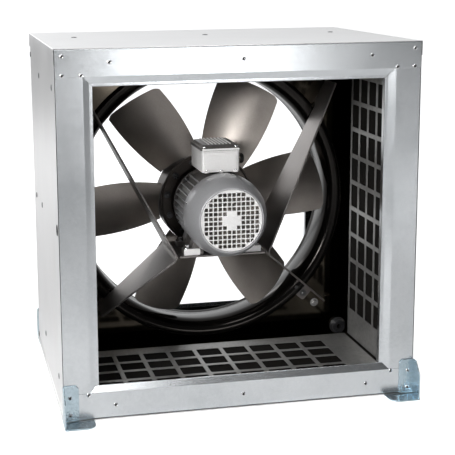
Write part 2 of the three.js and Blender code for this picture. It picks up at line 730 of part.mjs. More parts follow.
function impellerHub() {
  const { rimT, fillet, webBack, webT, bossR, noseR, noseFront, noseRear } = HUB_PROFILE;
  const web = HUB_MIDDLE - webBack;
  const [rim, bore] = [HUB_R - rimT, SHAFT_R + GAP];
  return turned([
    [bore, web - noseFront], [noseR, web - noseFront], [bossR, web], [rim - fillet, web], [rim, HUB_FRONT],
    [HUB_R, HUB_FRONT], [HUB_R, HUB_REAR], [rim, HUB_REAR], [rim - fillet, web + webT], [bossR, web + webT],
    [noseR, web + noseRear], [bore, web + noseRear],
  ], 36);
}

function hubClampDisc() {
  const face = HUB_MIDDLE - HUB_PROFILE.webBack + HUB_PROFILE.noseRear + GAP + CLAMP_DISC.clearance;
  return turned(rectangle(0, CLAMP_DISC.r, face, face + CLAMP_DISC.t), 24);
}

// Where a point of the blade lies: u across the chord, v out from the hub, w through the thickness.
function bladePoint(u, v, w) {
  const root = HUB_R + BLADE_ROOT_GAP;
  const radius = root + v * (TIP_R - root);
  const leading = BLADE_LEADING.root + BLADE_LEADING.sweep * v ** BLADE_LEADING.power;
  const trailing = BLADE_TRAILING.root + BLADE_TRAILING.sweep * v;
  const rear = BLADE_REAR_ROOT + v * (BLADE_REAR_TIP - BLADE_REAR_ROOT);
  const angle = THREE.MathUtils.degToRad(leading + u * (trailing - leading));
  const arc = THREE.MathUtils.degToRad(trailing - leading) * radius;
  const pitch = Math.atan2(rear - BLADE_FRONT, arc);
  const bulge = 4 * u * (1 - u);
  const edgeThinning = 0.3 + 0.7 * bulge;
  const tipThinning = 1 - 0.35 * v;
  const half = w * (BLADE_T / 2) * edgeThinning * tipThinning;
  const turn = angle - (half * Math.sin(pitch)) / radius;
  const y = BLADE_FRONT + u * (rear - BLADE_FRONT) - BLADE_CAMBER * bulge + half * Math.cos(pitch);
  return new THREE.Vector3(radius * Math.cos(turn), y, radius * Math.sin(turn));
}

function blade(index) {
  const geometry = new THREE.BoxGeometry(1, 1, 1, 6, 5, 1);
  const position = geometry.attributes.position;
  for (let i = 0; i < position.count; i += 1) {
    const point = bladePoint(position.getX(i) + 0.5, position.getY(i) + 0.5, position.getZ(i) * 2);
    position.setXYZ(i, point.x, point.y, point.z);
  }
  const angle = THREE.MathUtils.degToRad(BLADE_PHASE + (index * 360) / BLADE_COUNT);
  return geometry.rotateY(-angle).translate(0, 0, AXIS_Z);
}

function impeller() {
  const pieces = [
    piece('impeller_hub', impellerHub(), BLADE_ALLOY),
    piece('impeller_clamp_disc', hubClampDisc(), ZINC),
  ];
  for (let index = 0; index < BLADE_COUNT; index += 1) {
    pieces.push(piece(`impeller_blade_${index + 1}`, blade(index), BLADE_ALLOY));
  }
  return pieces;
}

// ---------- feet ----------

// Bracket at the front right corner: face flange, outer wing and ground plate.
function footBracket() {
  const [top, low] = [-GAP, -GAP - FOOT_T];
  const flange = block(HALF - FOOT_FLANGE_W, HALF, -GAP - FOOT_T, -GAP, low, FOOT_FLANGE_H);
  const wingSide = [
    [-FOOT_WING, low], [-GAP, low], [-GAP, FOOT_FLANGE_H], [-FOOT_WING_STEP.out, FOOT_FLANGE_H],
    [-FOOT_WING, FOOT_WING_STEP.up],
  ];
  const wing = plateX(shapeOf(wingSide), HALF - FOOT_T, HALF);
  const inner = HALF - FOOT_BASE_W;
  const ground = new THREE.Shape();
  ground.moveTo(HALF, FOOT_BASE_IN);
  ground.lineTo(inner, FOOT_BASE_IN);
  ground.lineTo(inner, -FOOT_BASE_OUT + FOOT_CORNER_R);
  ground.quadraticCurveTo(inner, -FOOT_BASE_OUT, inner + FOOT_CORNER_R, -FOOT_BASE_OUT);
  ground.lineTo(HALF, -FOOT_BASE_OUT);
  return joined(flange, wing, plateZ(ground, low, top));
}

function feet() {
  const names = { front_left: [-1, 1], front_right: [1, 1], rear_left: [-1, -1], rear_right: [1, -1] };
  return Object.entries(names).map(([corner, [sideX, sideY]]) => {
    const bracket = footBracket().applyMatrix4(new THREE.Matrix4().makeScale(sideX, sideY, 1));
    if (sideY < 0) bracket.translate(0, BOX_D, 0);
    return piece(`foot_${corner}`, bracket, ZINC);
  });
}

// ---------- assembly ----------

const fan = new THREE.Group();
fan.name = 'inline_duct_fan';
fan.add(
  ...casingSkins(),
  ...endFrame(false),
  ...endFrame(true),
  ...lining(),
  piece('bulkhead_plate', bulkheadPlate(), BLACK_STEEL),
  piece('bulkhead_cable_grommet', cableGrommet(), RUBBER),
  piece('bellmouth_ring', bellmouthRing(), WARM_STEEL),
  ...motorSupport(),
  ...motor(),
  ...impeller(),
  ...feet(),
);
fan.position.set(0, -BOX_D / 2, FOOT_T + GAP);
export default fan;
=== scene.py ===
"""Cased inline duct fan: galvanised lined box, bellmouth ring, foot-mounted motor and broad-bladed impeller.

The geometry functions work in millimetres from the box's middle, front face and underside.
"""

import math

import bmesh
import bpy
from mathutils import Matrix, Vector, noise


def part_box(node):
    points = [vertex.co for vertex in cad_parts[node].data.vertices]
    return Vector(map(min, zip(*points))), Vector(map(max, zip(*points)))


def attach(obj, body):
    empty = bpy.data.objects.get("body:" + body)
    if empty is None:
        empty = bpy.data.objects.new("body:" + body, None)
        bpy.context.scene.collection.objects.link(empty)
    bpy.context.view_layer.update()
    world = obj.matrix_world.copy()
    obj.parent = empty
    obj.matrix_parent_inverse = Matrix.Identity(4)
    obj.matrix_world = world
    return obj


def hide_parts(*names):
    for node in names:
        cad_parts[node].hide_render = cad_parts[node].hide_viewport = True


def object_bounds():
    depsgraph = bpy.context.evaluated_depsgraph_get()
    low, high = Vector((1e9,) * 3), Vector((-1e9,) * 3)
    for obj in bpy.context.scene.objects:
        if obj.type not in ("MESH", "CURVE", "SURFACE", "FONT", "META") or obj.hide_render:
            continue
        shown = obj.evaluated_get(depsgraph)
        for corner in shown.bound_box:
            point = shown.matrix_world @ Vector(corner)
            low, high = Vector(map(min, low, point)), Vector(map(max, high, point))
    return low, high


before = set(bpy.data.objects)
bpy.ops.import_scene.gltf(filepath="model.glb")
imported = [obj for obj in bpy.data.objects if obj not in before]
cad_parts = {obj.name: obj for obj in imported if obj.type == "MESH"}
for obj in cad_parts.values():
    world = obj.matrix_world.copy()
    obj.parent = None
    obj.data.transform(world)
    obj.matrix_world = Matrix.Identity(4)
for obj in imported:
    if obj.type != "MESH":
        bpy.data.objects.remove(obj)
cad_low, cad_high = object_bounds()

# --- the box, from the frame ---

TOP_LOW, TOP_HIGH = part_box("casing_top_panel")
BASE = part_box("casing_bottom_panel")[0].z
FROM_BOX = Matrix.Translation((0, TOP_LOW.y, BASE)) @ Matrix.Scale(0.001, 4)
TO_BOX = FROM_BOX.inverted()


def measured(node):
    """Lowest and highest corner of a CAD node, in box millimetres."""
    low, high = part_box(node)
    return TO_BOX @ low, TO_BOX @ high


HALF = (TO_BOX @ TOP_HIGH).x
DEPTH = (TO_BOX @ TOP_HIGH).y
HEIGHT = (TO_BOX @ TOP_HIGH).z
RING_LOW, RING_HIGH = measured("bellmouth_ring")
AXIS_Z = (RING_LOW.z + RING_HIGH.z) / 2
CENTRE = Vector((0, 0, AXIS_Z))

# --- sheet metal ---

GAP = 0.3
SKIN = 1.2
HEAD = 1.2
LAP = 0.7
COVER_FLANGE = 31
SEAM_Y = 331
TRAY_FLANGE = 14
FRAME_T = 1.5
FRAME_FLAT = 56
FRAME_SLOPE_END = 69
FRAME_SLOPE_DEPTH = 8.5
FRAME_OPENING = 76
FRAME_RETURN = 22
FRAME_HEM = 3
FRAME_SIDE = HALF - measured("front_frame_top_rail")[1].x
MITRE_GAP = 0.25
# Width of the joint between frame and skins; the black strip in it is painted shadow.
JOINT_GAP = 1.1
CORNER_RIVETS = [(16, 16), (16, 53), (53, 53)]
RAIL_RIVETS = {"x": (-267, 0, 267), "inset": 28.5}
RIVET_SCALE = 4.6 / 4.2
SIDE_SCREWS = [(54, 670), (326, 669), (66, 75), (342, 80), (339, 379), (534, 19), (534, 700), (480, 375)]
COVER_SCREWS_X = (-294, 0, 294)
SPARE_HOLE = (19.3, 392)
SPARE_HOLE_R = 10.5

# --- lining ---

LINER_T = 1.2
LINER_SLOT = 9
LINER_LIP = 14
LIP_BEND_R = 1.5
BOARD_STEP = 14
HOLE_ALONG = 51
HOLE_PITCH = 60.4
HOLE_CORNER = 3
FLOOR_ROWS = {"first": 36, "pitch": 54, "count": 4, "depth": 44, "columns": 9, "shift": -26}
WALL_ROWS = {"first": 78, "pitch": 50.4, "count": 4, "depth": 41.5, "columns": 9, "shift": 11}

# --- bulkhead and bellmouth ---

PLATE_FRONT = measured("motor_arm_right")[1].y + GAP
PLATE_T = 2
PLATE_HOLE_R = 312
CLAMP_BOLT = (265.6, 108.9)
THROAT_R = 291
THROAT_START = 366
RING_REAR = RING_HIGH.y
BELL_RADIAL = 29
BELL_AXIAL = 33
BEAD_R = 7
RING_T = 2
GROMMET = {"x": 324, "z": 49, "hole": 12, "collar": 20, "reach": 16}

# --- motor ---

COWL_FRONT, COWL_REAR = (corner.y for corner in measured("motor_fan_cowl"))
COWL_R = measured("motor_fan_cowl")[1].x
GRILLE_R = measured("motor_cowl_grille")[1].x
BODY_FRONT, BODY_REAR = 176, 286
BODY_R = 78
BORE_R = 66
FIN_R = 86
FOOT_Z = AXIS_Z - 90
FINS = 40
COOLING_VANES = 8
TERMINAL_LOW, TERMINAL_HIGH = measured("terminal_box_base")
SHAFT_R = 12
BEARING_R = 26

# --- motor support ---

ARM_T = 4
ARM_BEND_R = 14
TAB_LENGTH = 46
TAB_WIDTH = 30
TAB_BOLTS = [(-35, -16), (-12, -16)]
ARM_VERTEX = Vector((98, 279))
ARM_TOP = Vector((286, 640))
ARM_BOTTOM = Vector((256, 139))
ARM_FRONT = 167
ARM_REAR = 329
ARM_RISE = 0.29
ARM_FALL = 0.54
RING_CLEAR_R = 331

# --- impeller ---

BLADES = 6
BLADE_PHASE = 5.9
TIP_R = 283
HUB_R = 108
HUB_FRONT, HUB_REAR = (corner.y for corner in measured("impeller_hub"))
BLADE_FRONT = 334
BLADE_REAR_ROOT = 395
BLADE_REAR_TIP = 409
BLADE_CAMBER = 13
BLADE_T = 5
LEADING_ROOT, LEADING_SWEEP, LEADING_POWER = -27.9, 14.9, 0.85
TRAILING_ROOT, TRAILING_SWEEP = 23.1, 10
ROOT_BOLT_R, RIM_BOLT_R = 88, 92
HUB_RIBS = 12

# --- feet ---

FOOT_T = 3
FOOT_FLANGE = 33
FOOT_WING = 38
FOOT_HEIGHT = 76
FOOT_RIVETS_Z = (14, 51)

# --- studio ---

SURROUND_FRONT = 0.10
SURROUND_REAR = 1.02
SURROUND_TURN = (-0.45, 0.89, 0)
SURROUND_FADE = (-0.3, 0.85)
FLOOR = 30.0
FLOOR_LIFT = 0.75
CAMERA = {"place": (-0.5979, -2.5162, 0.9119), "heading": 11.873, "drop": 10.569, "roll": 0.489,
          "lens": 93.18, "shift": 0.1}


# --- shapes ---


class Shape:
    """The points and faces of one piece, in box millimetres."""

    def __init__(self):
        self.points = []
        self.faces = []

    def add(self, points, faces):
        start = len(self.points)
        self.points += [Vector(p) for p in points]
        self.faces += [tuple(start + i for i in face) for face in faces]
        return self

    def grid(self, rows, wrap_rows=False, wrap_columns=False, caps=False):
        """Quads between neighbouring rows of points. caps closes the first and last row."""
        count, width = len(rows), len(rows[0])
        faces = []
        for i in range(count if wrap_rows else count - 1):
            for j in range(width if wrap_columns else width - 1):
                a, b = i * width, ((i + 1) % count) * width
                k = (j + 1) % width
                faces.append((a + j, a + k, b + k, b + j))
        if caps:
            faces.append(tuple(range(width)))
            faces.append(tuple(range((count - 1) * width, count * width)))
        return self.add([p for row in rows for p in row], faces)

    def turned(self, profile, place=None, segments=64):
        """A closed profile of (radius, height) points, turned about place's Z axis or the fan's."""
        place = place or FAN_AXIS
        rows = []
        for step in range(segments):
            angle = 2 * math.pi * step / segments
            rows.append([place @ Vector((r * math.cos(angle), r * math.sin(angle), h)) for r, h in profile])
        return self.grid(rows, wrap_rows=True, wrap_columns=True)

    def tube(self, rows):
        """Rows of points around a closed solid, capped at both ends."""
        return self.grid(rows, wrap_columns=True, caps=True)

    def prism(self, outline, place, low, high):
        """A closed outline, extruded from low to high. place(a, b, s) gives the point."""
        return self.tube([[place(a, b, s) for a, b in outline] for s in (low, high)])

    def vane(self, angle, side, half):
        """A plate on the fan's axis: side has (radius, Y) points, half(radius) is half its thickness."""
        turn = Matrix.Rotation(angle, 3, "Y")
        rows = [[turn @ Vector((r, y, s * half(r))) + CENTRE for r, y in side] for s in (-1, 1)]
        return self.tube(rows)


def level(a, b, s):
    """Places an outline drawn from above, at height s."""
    return (a, b, s)


def upright(a, b, s):
    """Places an outline drawn from the front, at depth s."""
    return (a, s, b)


def facing(centre, direction):
    """A frame at centre whose Z axis points along direction."""
    turn = Vector(direction).to_track_quat("Z", "Y").to_matrix().to_4x4()
    return Matrix.Translation(centre) @ turn


FORWARD, BACKWARD, UP, RIGHT = (0, -1, 0), (0, 1, 0), (0, 0, 1), (1, 0, 0)
# Heights of a piece turned about the fan's axis are its Y.
FAN_AXIS = facing((0, 0, AXIS_Z), BACKWARD)


def around_axis(radius, degrees, y):
    """A point on a circle about the fan's axis."""
    angle = math.radians(degrees)
    return (radius * math.cos(angle), y, AXIS_Z + radius * math.sin(angle))


def arc(centre, radius, start, end, steps):
    """Points on an arc, angles in degrees."""
    angles = [math.radians(start + (end - start) * i / steps) for i in range(steps + 1)]
    return [(centre[0] + radius * math.cos(a), centre[1] + radius * math.sin(a)) for a in angles]


def rounded(points, radius, steps=5, closed=False):
    """The same outline with each corner turned by an arc of that radius, where there is room."""
    count = len(points)
    result = []
    for i, point in enumerate(points):
        corner = Vector(point)
        if not closed and i in (0, count - 1):
            result.append(tuple(corner))
            continue
        before = Vector(points[i - 1]) - corner
        after = Vector(points[(i + 1) % count]) - corner
        half = before.angle(after) / 2
        reach = min(radius / math.tan(half), before.length * 0.49, after.length * 0.49)
        bend = reach * math.tan(half)
        middle = corner + (before.normalized() + after.normalized()).normalized() * (bend / math.sin(half))
        first = corner + before.normalized() * reach - middle
        last = corner + after.normalized() * reach - middle
        sweep = first.angle_signed(last)
        for step in range(steps + 1):
            angle = -sweep * step / steps
            result.append(tuple(middle + Matrix.Rotation(angle, 2) @ first))
    return result


def rectangle(x0, x1, y0, y1, radius, steps):
    """A rectangle with rounded corners, from its (x0, y0) corner on."""
    return rounded([(x0, y0), (x1, y0), (x1, y1), (x0, y1)], radius, steps, closed=True)


def thickened(path, thickness):
    """A closed outline from an open path and its copy moved sideways by the thickness."""
    path = [Vector(p) for p in path]
    sides = [(b - a).normalized().orthogonal() for a, b in zip(path, path[1:])]
    moved = []
    for i, point in enumerate(path):
        before, after = sides[max(i - 1, 0)], sides[min(i, len(sides) - 1)]
        moved.append(point + (before + after) * (thickness / (1 + before.dot(after))))
    return [tuple(p) for p in path + moved[::-1]]


def folded(shape, path, thickness, place, reach, radius, steps=5):
    """A bent sheet: the path with rounded bends, running between reach(a)[0] and reach(a)[1]."""
    outline = thickened(rounded(path, radius, steps), thickness)
    count = len(outline)
    rows = [[place(a, b, reach(a)[end]) for a, b in outline] for end in (0, 1)]
    shape.grid(rows, wrap_columns=True)
    caps = [(i, i + 1, count - 2 - i, count - 1 - i) for i in range(count // 2 - 1)]
    start = len(shape.points) - 2 * count
    for row in (0, 1):
        shape.faces += [tuple(start + row * count + i for i in cap) for cap in caps]
    return shape


def slotted(shape, half, low, high, rows, place):
    """A flat sheet with a grid of slots that have rounded corners."""
    columns = rows["columns"]
    along = [rows["shift"] + (c - (columns - 1) / 2) * HOLE_PITCH for c in range(columns)]
    depths = [rows["first"] + r * rows["pitch"] for r in range(rows["count"])]
    x_edges = [-half] + [(a + b) / 2 for a, b in zip(along, along[1:])] + [half]
    y_edges = [low] + [(a + b) / 2 for a, b in zip(depths, depths[1:])] + [high]
    for c, x in enumerate(along):
        for r, y in enumerate(depths):
            cell = (*x_edges[c:c + 2], *y_edges[r:r + 2])
            slotted_cell(shape, cell, (x, y), (HOLE_ALONG / 2, rows["depth"] / 2), place, HOLE_CORNER, 3)
    return shape


def slotted_cell(shape, cell, centre, reach, place, corner_r, steps):
    """One cell of a slotted sheet: the sheet between the cell's edge and the slot."""
    (x0, x1, y0, y1), (x, y), (half_x, half_y) = cell, centre, reach
    ring = rectangle(x - half_x, x + half_x, y - half_y, y + half_y, corner_r, steps)
    sides = [(None, y0), (x1, None), (None, y1), (x0, None)]

    def beside(index, side):
        """The point on a side of the cell, level with a point of the slot."""
        fixed_x, fixed_y = sides[side]
        a, b = ring[index]
        return place(a if fixed_x is None else fixed_x, b if fixed_y is None else fixed_y)

    points = [place(a, b) for a, b in ring]
    faces = []
    for i, corner in enumerate([(x0, y0), (x1, y0), (x1, y1), (x0, y1)]):
        first = i * (steps + 1)
        last = first + steps
        following = (last + 1) % len(ring)
        mine = len(points)
        points += [place(*corner), beside(first, i - 1), beside(last, i), beside(following, i)]
        faces += [(mine, j, j + 1) for j in range(first, last)]
        faces += [(mine, mine + 1, first), (mine, last, mine + 2), (last, following, mine + 3, mine + 2)]
    shape.add(points, faces)


def pierced(shape, middle, radius, low, high, turns, place, near, far):
    """A flat rectangular sheet with a round hole, as rings of quads. place(a, b, s) gives the point."""
    hole, edge = [], []
    for angle in turns:
        ray = Vector((math.cos(angle), math.sin(angle)))
        room = [((high if ray[k] > 0 else low)[k] - middle[k]) / ray[k] for k in (0, 1) if abs(ray[k]) > 1e-6]
        hole.append(middle + ray * radius)
        edge.append(middle + ray * min(room))
    for corner in ((low.x, low.y), (low.x, high.y), (high.x, low.y), (high.x, high.y)):
        nearest = min(range(len(edge)), key=lambda i: (edge[i] - Vector(corner)).length)
        edge[nearest] = Vector(corner)
    rings = ((hole, near), (edge, near), (edge, far), (hole, far))
    rows = [[place(p.x, p.y, s) for p in ring] for ring, s in rings]
    shape.grid(rows, wrap_rows=True, wrap_columns=True)


# --- fasteners ---


def rivets(heads_name, hole_shade_name, places):
    """Blind rivets: domed heads, open in the middle, and black discs flush in their holes as painted shade.
    """
    heads, hole_shades = Shape(), Shape()
    profile = [(2.3, 0.2), (2.35, 1.2), (2.7, 1.4), (3.4, 1.2), (4.0, 0.6), (4.2, -0.3), (2.3, -0.3)]
    for place in places:
        heads.turned([(r * RIVET_SCALE, h * RIVET_SCALE) for r, h in profile], place, 20)
        # Black disc filling the rivet's hole: painted shade in the hollow.
        hole_shades.turned([(0.01, 1.0), (1.4, 0.9), (2.5, 0.5), (2.5, -0.3), (0.01, -0.3)], place, 12)
    piece(heads_name, heads, "steel", sharp=40)
    piece(hole_shade_name, hole_shades, "black", sharp=40)


def circle(place, radius, height, turns):
    """Points at those angles about place's Z axis."""
    return [place @ Vector((radius * math.cos(a), radius * math.sin(a), height)) for a in turns]


def pan_head(shape, place, radius, height):
    """Low domed screw head with a cross recess."""
    profile = [(radius * 0.98, -0.2), (radius, height * 0.25), (radius * 0.9, height * 0.75),
               (radius * 0.66, height)]
    rim = 24
    turns = [2 * math.pi * (i + 0.5) / rim for i in range(rim)]
    rows = [circle(place, r, h, turns) for r, h in profile]
    reach = 0.42
    width = reach * 0.3
    cross = []
    for turn in range(4):
        quarter = Matrix.Rotation(turn * math.pi / 2, 2)
        for x, y in ((width, width), (reach, width), (reach, 0), (reach, -width)):
            cross.append(quarter @ Vector((x, y)) * radius)
    cross = sorted(cross, key=lambda p: -math.atan2(p.y, p.x))
    slots = [cross[round(i * len(cross) / rim) % len(cross)] for i in range(rim)]
    slots = sorted(slots, key=lambda p: math.atan2(p.y, p.x) % (2 * math.pi))
    rows.append([place @ Vector((p.x, p.y, height)) for p in slots])
    rows.append([place @ Vector((p.x * 0.8, p.y * 0.8, height * 0.3)) for p in slots])
    shape.tube(rows)


def hex_head(shape, place, across, height, washer=0.0):
    """Hexagon head with a chamfered top, on a washer of that radius where one is given."""
    radius = across / math.sqrt(3)
    base = 0.0
    if washer:
        base = height * 0.25
        profile = [(0.01, 0), (washer, 0), (washer, base * 0.8), (washer - 0.5, base), (0.01, base)]
        shape.turned(profile, place, 32)
    turns = [2 * math.pi * i / 6 for i in range(6)]
    levels = ((1.0, base), (1.0, base + height * 0.85), (0.86, base + height))
    shape.tube([circle(place, radius * scale, h, turns) for scale, h in levels])


# --- pieces ---


def piece(name, shape, look, body="casing", stands_for=None, bevel=0.0, sharp=32, thick=0.0):
    """Makes the Blender object, in metres in the frame's axes, and hangs it on its body."""
    mesh = bpy.data.meshes.new(name)
    mesh.from_pydata([FROM_BOX @ p for p in shape.points], [], shape.faces)
    work = bmesh.new()
    work.from_mesh(mesh)
    bmesh.ops.remove_doubles(work, verts=work.verts, dist=2e-6)
    bmesh.ops.dissolve_degenerate(work, edges=work.edges, dist=1e-6)
    bmesh.ops.recalc_face_normals(work, faces=work.faces)
    work.to_mesh(mesh)
    work.free()
    mesh.polygons.foreach_set("use_smooth", [True] * len(mesh.polygons))
    mesh.set_sharp_from_angle(angle=math.radians(sharp))
    mesh.materials.append(LOOKS[look])
    made = bpy.data.objects.new(name, mesh)
    bpy.context.scene.collection.objects.link(made)
    soften(made, bevel, thick)
    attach(made, body)
    if stands_for:
        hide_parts(stands_for)
    return made


def soften(made, bevel, thick):
    """Sheet thickness, rounded edges and flat-keeping normals, as asked."""
    if thick:
        solid = made.modifiers.new("thickness", "SOLIDIFY")
        solid.thickness = thick * 0.001
        solid.offset = 0
    if bevel:
        edge = made.modifiers.new("edges", "BEVEL")
        edge.width = bevel * 0.001
        edge.segments = 2
        edge.limit_method = "ANGLE"
        edge.angle_limit = math.radians(38)
    if bevel or thick:
        made.modifiers.new("normals", "WEIGHTED_NORMAL").keep_sharp = True


def dress(node, look, bevel=0.0):
    """A CAD node that stays: a better material and softer edges."""
    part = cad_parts[node]
    part.data.materials.clear()
    part.data.materials.append(LOOKS[look])
    soften(part, bevel, 0)


# --- materials ---


def node(look, kind, inputs=None, **settings):
    made = look.node_tree.nodes.new("ShaderNode" + kind)
    for key, value in settings.items():
        setattr(made, key, value)
    for key, value in (inputs or {}).items():
        if isinstance(value, bpy.types.NodeSocket):
            look.node_tree.links.new(value, made.inputs[key])
        else:
            made.inputs[key].default_value = value
    return made


def noise_at(look, place, scale, detail=3.0):
    inputs = {"Vector": place, "Scale": scale, "Detail": detail, "Roughness": 0.5}
    return node(look, "TexNoise", inputs).outputs[0]


def spread(look, value, low, high, to_low=0.0, to_high=1.0):
    """Maps a value from one range to another, clamped."""
    limits = {"Value": value, "From Min": low, "From Max": high, "To Min": to_low, "To Max": to_high}
    return node(look, "MapRange", limits).outputs[0]


def maths(look, operation, a, b):
    return node(look, "Math", {0: a, 1: b}, operation=operation).outputs[0]


def surface(name, dark, light, metallic, rough, clouds=9.0, grain=350.0, cells=0.0, tilt=0.0, brushed=None,
            share=(0.5, 0.3, 0.5), bump=0.00012, bump_scale=600.0, coat=0.0, shine=0.5):
    """A worn technical surface.

    Its colour and roughness run between their two values with soft clouds, fine grain and, on zinc, crystals
    of about 1/cells metres, each one tilted a little. share weighs these three. brushed stretches the grain.
    """
    look = bpy.data.materials.new(name)
    look.use_nodes = True
    shader = look.node_tree.nodes["Principled BSDF"]
    link = look.node_tree.links.new
    place = node(look, "TexCoord").outputs["Object"]
    fine = place
    if brushed:
        fine = node(look, "Mapping", {"Vector": place, "Scale": brushed}).outputs[0]
    cloud = spread(look, noise_at(look, place, clouds, 4.0), 0.3, 0.7)
    speck = spread(look, noise_at(look, fine, grain, 2.0), 0.25, 0.75)
    mix = maths(look, "MULTIPLY", cloud, share[0])
    mix = maths(look, "ADD", mix, maths(look, "MULTIPLY", speck, share[1]))
    height = noise_at(look, fine, bump_scale, 3.0)
    facing_way = node(look, "NewGeometry").outputs["Normal"]
    if cells:
        warp = node(look, "TexNoise", {"Vector": place, "Scale": cells * 1.7, "Detail": 2.0}).outputs["Color"]
        bent = node(look, "MixRGB", {0: 0.012, 1: place, 2: warp}).outputs[0]
        crystal = node(look, "TexVoronoi", {"Vector": bent, "Scale": cells}, feature="F1")
        tone = node(look, "SeparateColor", {0: crystal.outputs["Color"]}).outputs[0]
        mix = maths(look, "ADD", mix, maths(look, "MULTIPLY", tone, share[2]))
        lean = {0: crystal.outputs["Color"], 1: (tilt,) * 3, 2: (-tilt / 2,) * 3}
        lean = node(look, "VectorMath", lean, operation="MULTIPLY_ADD").outputs[0]
        facing_way = node(look, "VectorMath", {0: facing_way, 1: lean}, operation="ADD").outputs[0]
        facing_way = node(look, "VectorMath", {0: facing_way}, operation="NORMALIZE").outputs[0]
    high = sum(share) * 0.75
    colour = node(look, "MixRGB", {0: spread(look, mix, 0.1, high), 1: (*dark, 1), 2: (*light, 1)})
    link(colour.outputs[0], shader.inputs["Base Color"])
    link(spread(look, mix, 0.1, high, *rough), shader.inputs["Roughness"])
    relief = node(look, "Bump", {"Height": height, "Distance": bump, "Strength": 1.0, "Normal": facing_way})
    link(relief.outputs[0], shader.inputs["Normal"])
    shader.inputs["Metallic"].default_value = metallic
    shader.inputs["Coat Weight"].default_value = coat
    shader.inputs["Specular IOR Level"].default_value = shine
    return look


# The large sheets keep their roughness on one side of about 0.27, because mottling shows where it is crossed.
LOOKS = {
    "galvanised": surface("galvanised_spangle", (0.60, 0.625, 0.645), (0.75, 0.77, 0.79), 1.0, (0.20, 0.27),
                          cells=210.0, tilt=0.012, share=(0.5, 0.3, 0.3), bump=0.00002),
    "skin": surface("galvanised_satin", (0.76, 0.755, 0.755), (0.86, 0.855, 0.855), 1.0, (0.28, 0.36),
                    grain=120.0, brushed=(14, 1, 1), bump=0.00001),
    "zinc": surface("zinc_plate", (0.33, 0.42, 0.48), (0.62, 0.73, 0.79), 1.0, (0.18, 0.27), cells=330.0,
                    tilt=0.2, bump=0.00008),
    "liner": surface("liner_sheet", (0.22, 0.218, 0.212), (0.40, 0.395, 0.384), 0.7, (0.28, 0.38),
                     cells=180.0, tilt=0.1, bump=0.00005),
    "bulkhead": surface("bulkhead_sheet", (0.075, 0.064, 0.050), (0.14, 0.122, 0.098), 1.0, (0.07, 0.14),
                        bump=0.00002),
    # Near-black ring colour: painted shade, standing for the dark interior reflected in the flare.
    "ring": surface("spun_ring", (0.012, 0.011, 0.010), (0.034, 0.031, 0.029), 0.9, (0.12, 0.20),
                    bump=0.00003, shine=0.3),
    "support": surface("support_steel", (0.21, 0.195, 0.187), (0.33, 0.308, 0.298), 0.9, (0.34, 0.46)),
    "blade": surface("blade_alloy", (0.33, 0.297, 0.270), (0.50, 0.455, 0.420), 0.7, (0.38, 0.5), clouds=14.0,
                     grain=500.0),
    "hub": surface("hub_alloy", (0.075, 0.064, 0.056), (0.15, 0.130, 0.115), 0.6, (0.34, 0.48), clouds=14.0),
    "motor": surface("motor_paint", (0.09, 0.083, 0.078), (0.16, 0.150, 0.143), 0.2, (0.28, 0.42)),
    "cowl": surface("cowl_paint", (0.36, 0.36, 0.37), (0.47, 0.47, 0.48), 0.35, (0.30, 0.42), coat=0.15),
    "light_paint": surface("light_grey_paint", (0.74, 0.73, 0.72), (0.86, 0.85, 0.84), 0.2, (0.3, 0.44)),
    "plastic": surface("cooling_fan_plastic", (0.26, 0.235, 0.21), (0.38, 0.35, 0.315), 0.0, (0.4, 0.55)),
    "black": surface("black_plastic", (0.006, 0.006, 0.006), (0.014, 0.014, 0.015), 0.0, (0.4, 0.55)),
    "rubber": surface("rubber", (0.008, 0.008, 0.009), (0.022, 0.022, 0.023), 0.0, (0.3, 0.45)),
    "board": surface("lining_fleece", (0.003, 0.0025, 0.002), (0.010, 0.0085, 0.007), 0.0, (0.8, 0.95),
                     grain=900.0, bump=0.0004, bump_scale=1200.0, shine=0.1),
    "brass": surface("brass", (0.52, 0.45, 0.33), (0.74, 0.67, 0.53), 0.9, (0.22, 0.36), bump=0.00003),
    "steel": surface("bright_steel", (0.72, 0.72, 0.73), (0.88, 0.88, 0.89), 1.0, (0.14, 0.26), bump=0.00003),
    "dark_steel": surface("dark_screw", (0.10, 0.10, 0.10), (0.25, 0.25, 0.26), 1.0, (0.25, 0.4)),
    "core": surface("laminated_core", (0.12, 0.12, 0.13), (0.28, 0.28, 0.29), 0.9, (0.4, 0.55), grain=900.0,
                    brushed=(1, 12, 1)),
    "copper": surface("enamelled_copper", (0.35, 0.13, 0.05), (0.62, 0.28, 0.12), 0.9, (0.22, 0.4)),
}


# --- casing ---


def side_skin(right):
    """Side wall: a front sheet lapped over a rear one, under the cover's flange and in the tray."""
    side = 1 if right else -1
    name = "right" if right else "left"
    outer = HALF - HEAD
    back = rectangle(SEAM_Y - 6, DEPTH - 0.2, 2, HEIGHT - COVER_FLANGE + 1.5, 2.5, 3)
    shape = Shape().prism(back, lambda a, b, s: (s * side, a, b), outer - LAP - SKIN, outer - LAP)
    y0, y1, z0, z1 = 0.4, SEAM_Y, TRAY_FLANGE - 1, HEIGHT - COVER_FLANGE - 0.8
    if right:
        shape.prism(rectangle(y0, y1, z0, z1, 2.5, 3), lambda a, b, s: (s, a, b), outer - LAP, outer)
    else:
        turns = [2 * math.pi * i / 48 for i in range(48)]
        pierced(shape, Vector(SPARE_HOLE), SPARE_HOLE_R, Vector((y0, z0)), Vector((y1, z1)), turns,
                lambda a, b, s: (s, a, b), -outer, -outer + LAP)
    piece(f"casing_{name}_skin", shape, "skin", stands_for=f"casing_{name}_panel", bevel=0.35)


